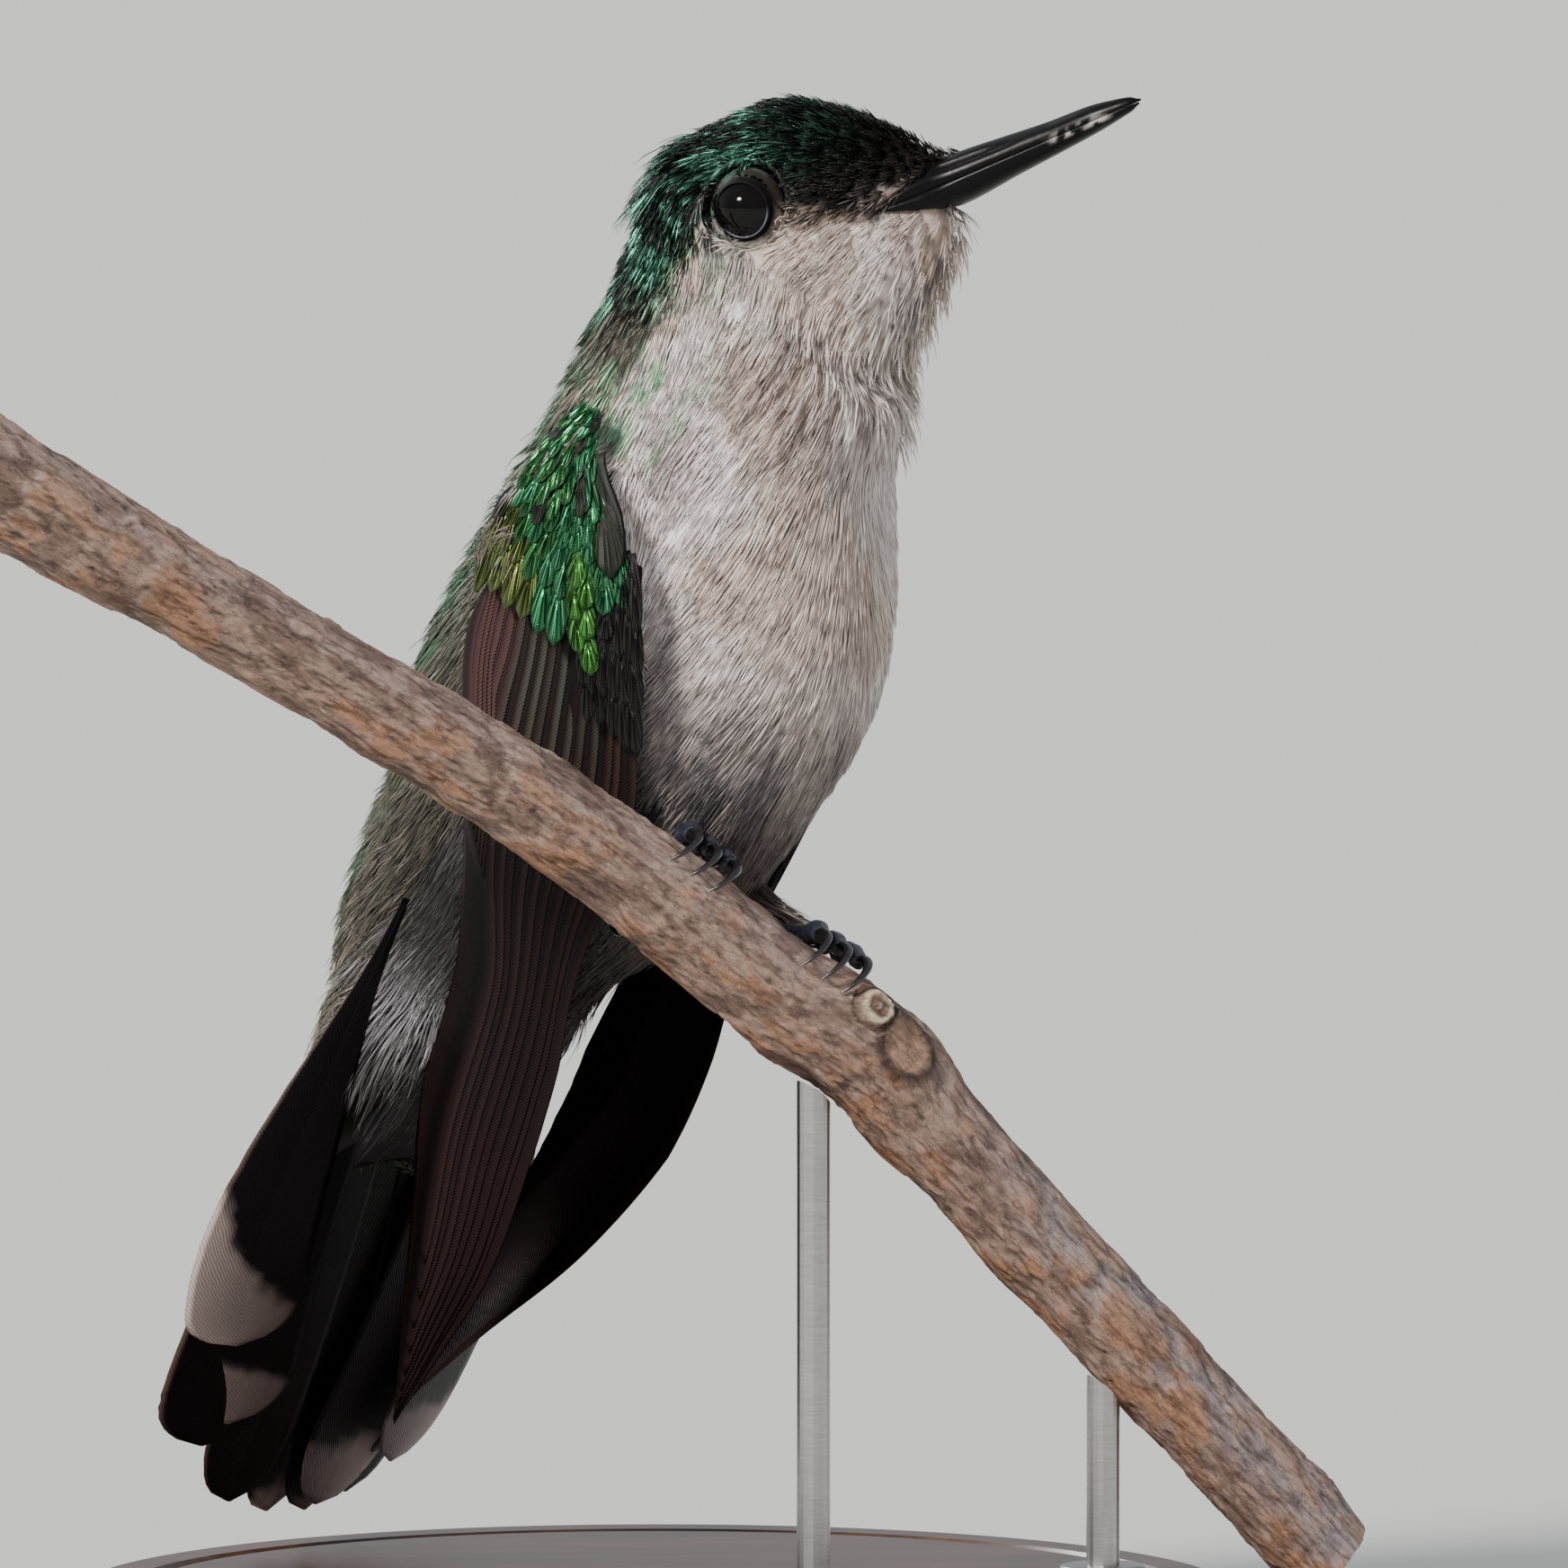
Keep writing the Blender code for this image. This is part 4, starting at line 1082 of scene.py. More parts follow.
def closed_vane(body, up, half_thick, spread, shaft):
    """Rings round a thin vane, and its map of millimetres across and along."""
    share = np.linspace(-1, 1, body.shape[1])
    wall = half_thick * (1 - 0.85 * share ** 2)[None, :, None]
    rings = np.concatenate((body + up * wall, (body - up * wall)[:, -2:0:-1]), 1)
    beside = np.concatenate((spread, spread[:, -2:0:-1]), 1)
    return rings, np.stack(np.broadcast_arrays(beside, arc_length(shaft)[:, None], 0.0), -1)


def vane_tube(lines, normals, lead, trail, thick, camber, points):
    """Closed thin vane along a shaft; lead and trail are its widths on the two sides at each station."""
    across = unit(np.cross(normals, unit(np.gradient(lines, axis=0))))
    share = np.linspace(-1, 1, points)
    width = np.where(share < 0, lead[:, None], trail[:, None]) * share
    dip = -camber * share[None] ** 2 * np.minimum((lead + trail), 2.0)[:, None]
    body = lines[:, None] + across[:, None] * width[..., None] + normals[:, None] * dip[..., None]
    return closed_vane(body, normals[:, None], thick / 2, width, lines)


def shaft_tube(lines, normals, radius):
    """Slim tapering shaft along the top of a vane."""
    across = unit(np.cross(normals, unit(np.gradient(lines, axis=0))))
    turn = whole_turn(6)[:, None]
    taper = (radius * np.linspace(1, 0.25, len(lines)))[:, None, None]
    return (lines[:, None] + across[:, None] * np.cos(turn) * taper
            + normals[:, None] * np.sin(turn) * taper)


class Vanes:
    """Collects lofted feathers, toes or claws into one piece, whose map has a strip for each."""

    def __init__(self, strips):
        self.strips = strips
        self.parts = []
        self.shift = 0

    def add(self, rings, tint, shimmer=0.0, lay=0.0, root=None):
        """Add one lofted form; the values hold for each ring point or for all."""
        places, faces = loft_arrays(rings)
        count, sides = rings.shape[:2]
        across = (np.arange(sides) / sides)[None].repeat(count, 0)
        upwards = np.linspace(0, 1, count)[:, None].repeat(sides, 1)
        if root is None:
            strip = (len(self.parts) + 0.05 + 0.9 * across) / self.strips
            patch = np.stack((strip, 0.02 + 0.96 * upwards), -1)
        else:
            patch = root + 0.003 * (np.stack((across, upwards), -1) - 0.5)
        shimmer = np.broadcast_to(shimmer, (count, sides))[..., None]
        values = [np.broadcast_to(value, (count, sides, size)).reshape(count * sides, size)
                  for value, size in ((tint, 3), (shimmer, 1), (patch, 2), (lay, 3))]
        values = [np.concatenate((value, value[:1], value[-1:])) for value in values]
        self.parts.append((places, faces + self.shift, *values))
        self.shift += len(places)

    def write(self, name, material, slot, *replaced):
        """Make the piece."""
        places, faces, tint, shimmer, patch, lay = (np.concatenate(values) for values in zip(*self.parts))
        node = triangle_mesh(name, places, faces, tint, shimmer[:, 0], patch, lay)
        return place_piece(node, material, slot, *replaced)


FLIGHT_TIPS = (-44.8, -44.6, -44.2, -43.6, -42.8, -41.8, -40.5, -39.0, -37.2, -35.2,
               -14.5, -14.0, -13.5, -13.0, -12.5, -12.0)
# start along, length, width, share from, share to: rows of small coverts down the wing
COVERT_ROWS = ((8.7, 1.1, 0.6, 0.30, 0.86), (8.2, 1.2, 0.65, 0.26, 0.88), (7.7, 1.2, 0.7, 0.22, 0.88),
               (7.1, 1.3, 0.7, 0.14, 0.88), (6.5, 1.4, 0.75, 0.08, 0.87), (5.9, 1.5, 0.8, 0.06, 0.87),
               (5.2, 1.6, 0.85, 0.04, 0.86), (4.5, 1.8, 0.95, 0.03, 0.86), (3.7, 2.1, 1.05, 0.03, 0.85),
               (2.8, 2.5, 1.2, 0.30, 0.84), (1.8, 3.5, 1.35, 0.32, 0.82), (4.6, 3.0, 0.7, -0.03, 0.07),
               (2.6, 3.2, 0.7, -0.03, 0.09), (0.6, 3.2, 0.8, -0.02, 0.26), (-1.2, 3.2, 0.8, -0.02, 0.24))
# start along, start share, end share, length, width, kind: single large coverts
COVERT_SINGLES = ((2.6, 0.13, 0.13, 1.7, 1.1, "teal"), (1.6, 0.12, 0.12, 1.8, 1.1, "dark"),
                  (3.0, 0.29, 0.28, 1.7, 1.2, "bright"), (2.3, 0.23, 0.22, 1.6, 1.1, "bright"),
                  (1.6, 0.29, 0.26, 1.7, 1.2, "bright"), (1.0, 0.22, 0.20, 1.6, 1.1, "bright"),
                  (0.4, 0.27, 0.23, 1.8, 1.2, "bright"), (-0.3, 0.21, 0.18, 1.8, 1.1, "bright"),
                  (7.0, 0.17, 0.10, 4.3, 2.0, "grey"))


def flight_profile(share):
    """Width of a flight feather down its length: narrow root, full blade, rounded point."""
    point = np.clip(1 - (np.maximum(share - 0.72, 0) / 0.28) ** 2, 0.004, 1)
    return (0.45 + 0.55 * ramp(share, 0.0, 0.25)) * np.sqrt(point)


class HB_OT_wings(Operator):
    """Flight feathers in stacked rows and scale-like coverts over each folded wing"""
    bl_idname = "hummingbird.wings"
    bl_label = "Make wings"

    def execute(self, context):
        settings = context.scene.hummingbird_wings
        vane, plate, barb = (
            tinted_material(*row[:-1], Specular_IOR_Level=row[-1])[0]
            for row in (("Flight feather", BARBS, 34.0, 0.6, 0.44, 0.03, 0.0, 0.12),
                        ("Covert scale", BARBS, 40.0, 0.6, 0.38, 0.03, 0.6, 0.15),
                        ("Covert plumage", STRANDS, 2600.0, 0.45, 0.27, 0.05, 0.85, 0.2)))
        for suffix, side in (("r", -1), ("l", 1)):
            self.flight(settings, vane, suffix, side)
            self.coverts(settings, plate, barb, suffix, side)
        return {"FINISHED"}

    def flight(self, settings, vane, suffix, side):
        """Primaries and secondaries, each laid over the one in front of it."""
        rng = np.random.default_rng(61 if side < 0 else 62)
        vanes = Vanes(40)
        steps = 56
        for k, tip in enumerate(FLIGHT_TIPS):
            share = np.linspace(0, 1, steps) ** 0.9
            begin = -1.2 + 4.4 * max(0.0, 1 - k / 5.0) * (side < 0)
            along = begin + (tip - begin) * share
            chord = np.maximum(chord_at(along), 0.6)
            step = 0.057 + 0.017 * ramp(-along, 3.0, 12.0) - 0.010 * ramp(-along, 14.0, 20.0)
            limit = 0.87 + 0.13 * ramp(-along, 8.0, 20.0)
            front = np.minimum((k + rng.uniform(-0.25, 0.25)) * step, limit - 0.1 - 0.02 * (15 - k) * (k > 9))
            room = np.maximum(limit - front, 0.1) * chord
            broad = 5.2 if k < 10 else 3.4
            width = np.minimum(broad, room) * flight_profile(share)
            narrow = np.minimum(0.30 * width, 0.5)
            middle = front + narrow / chord
            lift = -1.36 + 0.085 * k - 0.4 * (1 - ramp(begin - along, 0.0, 5.0))
            wavy = 1 + 0.015 * np.sin(share * 40 + k) + rng.normal(0, 0.005, steps)
            rings, lay = self.curved_vane(
                side, along, middle, lift, narrow * wavy, (width - narrow) * wavy, chord)
            inner, rear = lay[..., 0], -along[:, None]
            # paler leading edge of each blade: partly its own fringe, partly a painted highlight along the
            # visible edge
            fringe_highlight = ramp(-inner / np.maximum(narrow, 0.1)[:, None], 0.1, 0.8) * rng.uniform(0.35, 1.0)
            fringe_highlight = fringe_highlight * (1 - 0.6 * ramp(rear, 10.0, 22.0))
            rim = ramp(inner / np.maximum(width - narrow, 0.1)[:, None], 0.9, 1.0)
            tint = np.array(settings.flight_colour) * (0.7 + 0.6 * rng.random())
            purple = 0.85 * ramp(float(k), 8.0, 12.0) * (1 - ramp(share, 0.6, 1.0))[:, None]
            purple = np.minimum(purple + 0.15 * ramp(rear, 22.0, 30.0), 1.0)
            tint = layered(tint, (settings.sheen_colour, purple))
            # painted shade just behind the shaft, where the next blade's edge lies over it; lighter again
            # further out on the trailing vane
            tint = tint * (1 - 0.75 * ramp(inner, 0.0, 0.4) + 0.45 * ramp(inner, 0.8, 1.6))[..., None]
            tint = layered(tint, (settings.fringe_highlight_colour, 0.7 * fringe_highlight), (paint(70, 42, 34), 0.5 * rim))
            # grey-green on the visible edges of the middle blades: partly their own green, partly painted
            # sheen
            green = np.exp(-((rear - 4.0) / 3.4) ** 2) * fringe_highlight * (2 < k < 11)
            tint = tint * (1 - 0.3 * ramp(rear, 10.0, 18.0))[..., None]
            tint = layered(tint, (paint(56, 66, 58), 0.8 * green))
            vanes.add(rings, tint, green * 0.5, lay)
            vanes.add(shaft_tube(*wing_place(side, along, middle, lift), 0.055), paint(30, 20, 19))
        vanes.write("flight_feathers_" + suffix, vane, "flight_feather", "wing_%s_flight" % suffix)

    def curved_vane(self, side, along, middle, lift, lead, trail, chord):
        """Thin vane laid on the folded wing's curve; lead and trail are its widths beside the shaft."""
        share = np.linspace(-1, 1, 15)
        spread = np.where(share < 0, lead[:, None], trail[:, None]) * share
        bowed = lift[:, None] - 0.05 * share ** 2 * np.minimum(lead + trail, 1.0)[:, None]
        body, up = wing_place(side, along[:, None], middle[:, None] + spread / chord[:, None], bowed)
        rings, lay = closed_vane(body, up, 0.035, spread, body[:, 7])
        return (rings[:, ::-1], lay[:, ::-1]) if side < 0 else (rings, lay)

    def coverts(self, settings, plate, barb, suffix, side):
        """Rows of small shimmering scales from the shoulder to the roots of the flight feathers."""
        rng = np.random.default_rng(71 if side < 0 else 72)
        coat = Coat("coverts_" + suffix, barb, "plumage_green")
        vanes = Vanes(1)
        for start, length, width, low, high in COVERT_ROWS:
            if side > 0 and high < 0.3:
                continue
            low = low if side < 0 else max(low, 0.14)
            high = high if start < 4.0 or high < 0.3 else high - 0.07
            chord = float(chord_at([start])[0]) * (high - low)
            count = max(int(chord / (0.72 * width)) + 1, 3)
            share = low + (high - low) * (np.arange(count) + 0.5 + rng.normal(0, 0.10, count)) / count
            for place in share:
                along = start + rng.normal(0, 0.12) - 1.2 * (place - 0.5) ** 2
                lean = 0.05 * (place - 0.35) * length / 2.0
                kind = "dark" if high < 0.3 else self.kind_at(start, place, rng)
                self.covert(coat, vanes, settings, side, (along, place, place + lean),
                            length * rng.uniform(0.92, 1.08), width, kind, rng)
        for start, place, end, length, width, kind in COVERT_SINGLES:
            self.covert(coat, vanes, settings, side, (start, place, end), length, width, kind, rng, 0.12)
        coat.write()
        vanes.write("covert_scales_" + suffix, plate, "plumage_green")

    def kind_at(self, start, share, rng):
        """Colour family of a covert by its place on the wing."""
        if rng.random() < 0.12:
            return "grey"
        if start < 3.0 and share > 0.60 or start < 5.0 and share > 0.5 and rng.random() < 0.5:
            return "olive"
        if share < 0.4 or rng.random() < 0.35:
            return "teal"
        return "emerald"

    def covert(self, coat, vanes, settings, side, place, length, width, kind, rng, raised=0.0):
        """One scale: a thin dark plate with bright barbs fanned over it."""
        start, share, end = place
        families = {"teal": settings.covert_lead, "emerald": settings.covert_middle,
                    "olive": settings.covert_trail, "bright": settings.covert_bright,
                    "grey": paint(44, 45, 39), "dark": paint(20, 15, 16)}
        colour = np.array(families[kind])
        steps = np.linspace(0, 1, 9)
        lift = -0.16 + raised + 0.16 * steps
        lines, normals = wing_place(side, start - length * steps, share + (end - share) * steps, lift)
        half = width / 2 * (0.6 + 0.4 * ramp(steps, 0, 0.5))
        half = half * np.sqrt(np.clip(1 - (np.maximum(steps - 0.5, 0) / 0.5) ** 2.4, 0.01, 1))
        rings, lay = vane_tube(lines, normals, half, half, 0.03, 0.05, 9)
        dull = kind in ("grey", "dark")
        edge = np.abs(lay[..., 0]) / np.maximum(half, 0.1)[:, None]
        tint = colour * (0.5 if dull else 0.14) + paint(26, 29, 24)
        tint = tint * (1 - 0.55 * ramp(edge, 0.7, 1.0))[..., None]
        root = unwrap(lines[:1])[0]
        vanes.add(rings, tint, 0.0 if dull else 0.3, lay, root)
        style = Style(max(9, int(width * 10)), 0.028, 0.75, 0.03, 0.3, 0.55, 0.05, 0.015, 12.0,
                      glitter=None if dull else (0.3, 0.05, 0.30, 1.5, 3.6))
        lit = colour[None] * rng.uniform(0.7, 1.2)
        coat.add(feather_barbs(lines[None] + normals[None] * 0.02, normals[None], np.array([width]), style,
                               lit, np.array([0.0 if dull else 1.0]), root[None], rng))


# ---- tail

# rows of left, belly side, along, outer half width, inner half width; then pale length at the outer and
# inner edge, tilt towards the bird's side, and share of green on the upper face; central feathers first
TAIL_FEATHERS = (
    (((-1.0, -4.6, -24), (-1.3, -3.9, -31), (-1.6, -2.7, -42), (-0.9, -2.0, -53.0)),
     2.9, 3.0, 0.9, 0.9, 0.0, 1.0),
    (((0.0, -4.5, -24), (0.6, -3.8, -31), (1.7, -2.6, -42), (2.2, -1.9, -53.3)),
     2.9, 3.0, 0.7, 0.7, 0.0, 1.0),
    (((-1.8, -4.3, -24), (-2.8, -3.7, -31), (-4.4, -2.5, -42), (-4.8, -1.8, -51.8)),
     3.2, 3.0, 0.0, 0.0, 6.0, 0.5),
    (((0.8, -4.2, -24), (2.0, -3.6, -31), (4.6, -2.4, -42), (4.8, -1.7, -52.5)),
     3.2, 3.0, 0.0, 0.0, 0.0, 0.5),
    (((-3.6, -3.9, -24), (-5.6, -3.3, -31), (-9.2, -2.1, -41), (-9.4, -1.6, -47.9)),
     3.6, 3.4, 0.0, 0.0, 12.0, 0.0),
    (((2.4, -3.9, -24), (4.0, -3.3, -31), (6.6, -2.1, -42), (5.4, -1.5, -50.2)),
     3.4, 3.2, 0.0, 0.0, 0.0, 0.0),
    (((-5.2, -3.6, -23), (-6.8, -2.9, -30), (-8.9, -1.9, -40), (-8.2, -1.4, -46.7)),
     3.6, 3.4, 4.2, 2.0, 16.0, 0.0),
    (((3.8, -3.7, -24), (4.6, -3.0, -31), (4.2, -1.9, -42), (1.9, -1.3, -52.6)),
     3.6, 3.4, 4.4, 2.6, 0.0, 0.0),
    (((-8.0, -3.2, -18.4), (-9.9, -2.5, -27), (-11.6, -1.6, -36), (-10.6, -1.1, -41.8)),
     3.2, 3.4, 7.6, 0.9, 20.0, 0.0),
    (((6.6, -3.4, -20), (8.0, -2.7, -30), (8.6, -1.6, -41), (6.5, -1.0, -50.6)),
     3.4, 3.4, 3.6, 2.4, -8.0, 0.0))


class HB_OT_tail(Operator):
    """Ten broad tail feathers, the outer ones shorter and pale at the end"""
    bl_idname = "hummingbird.tail"
    bl_label = "Make tail"

    def execute(self, context):
        settings = context.scene.hummingbird_tail
        material = tinted_material("Tail feather", BARBS, 26.0, 0.45, 0.42, 0.03, Specular_IOR_Level=0.15)[0]
        rng = np.random.default_rng(81)
        vanes = Vanes(24)
        steps = 60
        for path, outer, inner, pale_outer, pale_inner, tilt, green in TAIL_FEATHERS:
            share = np.linspace(0, 1, steps)
            rows = [(k / (len(path) - 1), *row) for k, row in enumerate(path)]
            table = smooth_at(rows, share)
            places = trunk_places(table[:, 1], table[:, 2], table[:, 3])
            turn = math.radians(tilt)
            normal = -TRUNK_BACK * math.cos(turn) - TRUNK_LEFT * math.sin(turn)
            normals = np.broadcast_to(normal, places.shape)
            right = path[-1][0] < 1.0 and path[1][0] < 0
            grow = 0.08 + 0.92 * ramp(share, 0.0, 0.72)
            end = np.sqrt(np.clip(1 - (np.maximum(share - 0.84, 0) / 0.16) ** 2.3, 0.003, 1))
            wide_outer, wide_inner = outer * grow * end, inner * grow * end
            tangent = unit(np.gradient(places, axis=0))
            across = np.cross(normals[30], tangent[30])
            plus_outer = (float(across @ TRUNK_LEFT) > 0) != right
            lead, trail = (wide_inner, wide_outer) if plus_outer else (wide_outer, wide_inner)
            wavy = 1 + rng.normal(0, 0.006, steps)
            rings, lay = vane_tube(places, normals, lead * wavy, trail * wavy, 0.09, 0.03, 15)
            to_end = np.linalg.norm(places - places[-1], axis=1)[:, None]
            side_share = lay[..., 0] / np.where(lay[..., 0] > 0, trail[:, None], lead[:, None])
            outer_share = 0.5 + 0.5 * (side_share if plus_outer else -side_share)
            reach = pale_inner + (pale_outer - pale_inner) * outer_share
            tip = ramp(reach - to_end + 0.3 * ripple(rings, 1.6, 13), -0.5, 0.6) * bool(pale_outer)
            tint = np.array(settings.tail_colour) * (0.8 + 0.4 * rng.random())
            lit = np.array(settings.tip_colour) * (0.9 + 0.2 * rng.random())
            lit = lit * (0.5 + outer_share[..., None] ** 2)
            sheen = green * (np.arange(rings.shape[1]) >= 15) * (1 - tip)
            rim = 0.6 * ramp(outer_share, 0.93, 1.0) * (1 - tip)
            tint = layered(tint, (lit, tip), (paint(96, 72, 62), rim), (paint(32, 60, 44), sheen))
            vanes.add(rings, tint, sheen * 0.4, lay)
            stem_tip = ramp(0.5 * (pale_outer + pale_inner) - to_end, -0.6, 0.6) * bool(pale_outer)
            vanes.add(shaft_tube(places, normals, 0.07),
                      layered(paint(30, 22, 22), (paint(128, 110, 106), stem_tip)))
        vanes.write("tail_feathers", material, "tail_feather", "tail")
        return {"FINISHED"}


# ---- eyes and bill

class HB_OT_eyes(Operator):
    """Dark glossy eyes with a brown ring round the pupil"""
    bl_idname = "hummingbird.eyes"
    bl_label = "Make eyes"

    def execute(self, context):
        material = tinted_material("Wet eye", STRANDS, 5000.0, 0.8, 0.09, 0.0, Specular_IOR_Level=0.24)[0]
        for suffix, side in (("r", -1), ("l", 1)):
            quiet()
            bpy.ops.mesh.primitive_uv_sphere_add(segments=64, ring_count=40, radius=EYE_RADIUS * MM)
            eye = context.active_object
            eye.name = "eyeball_" + suffix
            mesh = eye.data
            mesh.name = eye.name
            turn = Vector(HEAD_LEFT * side).to_track_quat("Z", "Y").to_matrix().to_4x4()
            places = vertex_places(mesh).astype(float)
            height = places[:, 2] / EYE_RADIUS
            places = places * (1 + 0.035 * ramp(height, 0.75, 1.0))[:, None]
            ring = np.hypot(places[:, 0], places[:, 1])
            iris = ramp(ring, 0.62, 0.72) * (1 - ramp(ring, 0.98, 1.12)) * (height > 0)
            move_points(mesh, places)
            middle = head_places(EYE_PLACE[0], side * EYE_PLACE[1], EYE_PLACE[2])
            mesh.transform(Matrix.Translation(Vector(middle) * MM) @ turn)
            mesh.shade_smooth()
            add_attribute(mesh, "tint", "FLOAT_COLOR", layered(paint(2, 2, 2), (paint(7, 4, 3), iris)))
            place_piece(eye, material, "eye_glass", "eye_" + suffix)
        return {"FINISHED"}


def horn_material():
    """Glossy black horn with faint lengthwise grain and dusty flecks."""
    material, tree, shader = tinted_material(
        "Bill horn", STRANDS, 1400.0, 0.7, 0.28, 0.0, Specular_IOR_Level=0.14)
    place = add_node(tree, "TexCoord").outputs["Object"]
    scuff = add_node(tree, "TexNoise", Scale=2500.0, Detail=3.0, Vector=place).outputs["Fac"]
    rough = add_node(tree, "MapRange", Value=scuff, To_Min=0.22, To_Max=0.42)
    feed(tree, shader, Roughness=rough.outputs[0])
    add_bump(tree, shader, scuff, 0.015)
    return material


class HB_OT_bill(Operator):
    """Upper and lower bill with ridge, nostril groove and a line where they close"""
    bl_idname = "hummingbird.bill"
    bl_label = "Make bill"

    def execute(self, context):
        colour = np.array(context.scene.hummingbird_face.bill_colour)
        material = horn_material()
        turn = np.linspace(0, math.pi, 25)
        groove = np.exp(-((turn - 0.62) / 0.16) ** 2) + np.exp(-((turn - math.pi + 0.62) / 0.16) ** 2)
        for name, node, sign, end, blunt in (("bill_top", "bill_upper", 1, 19.65, 0.47),
                                             ("bill_under", "bill_lower", -1, 19.5, 0.55)):
            forward = (6.4 + (end - 6.4) * np.linspace(0, 1, 90) ** 0.85)[:, None]
            table = smooth_at(BILL_ROWS, forward[:, 0])
            last = ramp(end - forward, -0.02, 0.5)
            half = table[:, 1:2] * (0.35 + 0.65 * last)
            reach = table[:, 2:3] if sign > 0 else table[:, 3:4]
            reach = reach * (0.45 + 0.55 * last)
            keel = np.abs(np.sin(turn)) ** (0.35 + blunt * ramp(forward, 7.5, 10.5))
            nostril = ramp(forward, 8.6, 9.6) * (1 - ramp(forward, 11.5, 14.0)) * (sign > 0)
            across = half * np.cos(turn) * (1 - 0.16 * groove * nostril)
            rise = (0.02 + reach * keel) * (1 - 0.1 * groove * nostril)
            across = np.concatenate((across, across[:, -2:0:-1] * 0.985), 1)
            rise = np.concatenate((rise, np.full((90, 23), 0.012)), 1)
            rings = head_places(*np.broadcast_arrays(forward, across, bill_line(forward) + sign * rise))
            places, faces = loft_arrays(rings[:, ::-sign])
            ahead, _, up = in_head(places)
            crust = 1 - ramp(np.abs(up - bill_line(ahead)), 0.12, 0.3)
            crust = crust * ramp(ahead, 14.6, 15.6) * (1 - ramp(ahead, 17.6, 18.4))
            crust = crust * ramp(ripple(places, 0.8, 14), -0.3, 0.5) * (1.0 if sign < 0 else 0.4)
            tint = layered(colour, (paint(190, 182, 176), 0.8 * crust))
            place_piece(triangle_mesh(name, places, faces, tint), material, "bill_horn", node)
        return {"FINISHED"}


# ---- feet

def twig_at(across):
    """Centre, radius, direction, front and top side of the twig where it crosses given x values."""
    across = np.asarray(across)
    table, after, before = (smooth_at(TWIG_ROWS, across + step) for step in (0.0, 0.5, -0.5))
    ahead = unit(after[:, :3] - before[:, :3])
    front = unit(np.array((0.0, -1.0, 0.0)) + ahead * ahead[:, 1:2])
    over = np.cross(front, ahead)
    return table[:, :3], table[:, 3], ahead, front, over * np.sign(over[:, 2:3])


FOOT_PLACES = {"r": 0.6, "l": 6.8}
HIPS = {"r": (-4.8, 8.8, -12.0), "l": (2.8, 8.6, -14.6)}
TOES = {"inner": -1.35, "middle": 0.0, "outer": 1.35}


def scaled_tube(points, radii, sides=16, scutes=0.09, pads=0.0):
    """Tube along points with ring-like scales across it, and how deep each ring lies between scales."""
    gone = arc_length(points)
    places = np.linspace(0, gone[-1], int(gone[-1] / 0.06) + 2)
    table = smooth_at(np.column_stack((gone, points, radii)).tolist(), places)
    middle, radius = table[:, 1:4], table[:, 4]
    tangent = unit(np.gradient(middle, axis=0))
    across = unit(np.cross(tangent, (0.3, -0.8, 0.52)))
    over = unit(np.cross(across, tangent))
    turn = whole_turn(sides)[:, None]
    wave = (1 - np.abs(np.sin(math.pi * places / 0.55)) ** 0.35)[:, None, None]
    upper = ramp(np.sin(turn), -0.3, 0.4)
    swell = np.sin(2 * math.pi * places / 1.5)[:, None, None]
    ring = radius[:, None, None] * (1 - scutes * 1.6 * wave * upper + pads * swell * (1 - upper))
    rings = middle[:, None] + across[:, None] * (np.cos(turn) * ring) + over[:, None] * (np.sin(turn) * ring)
    return rings, wave


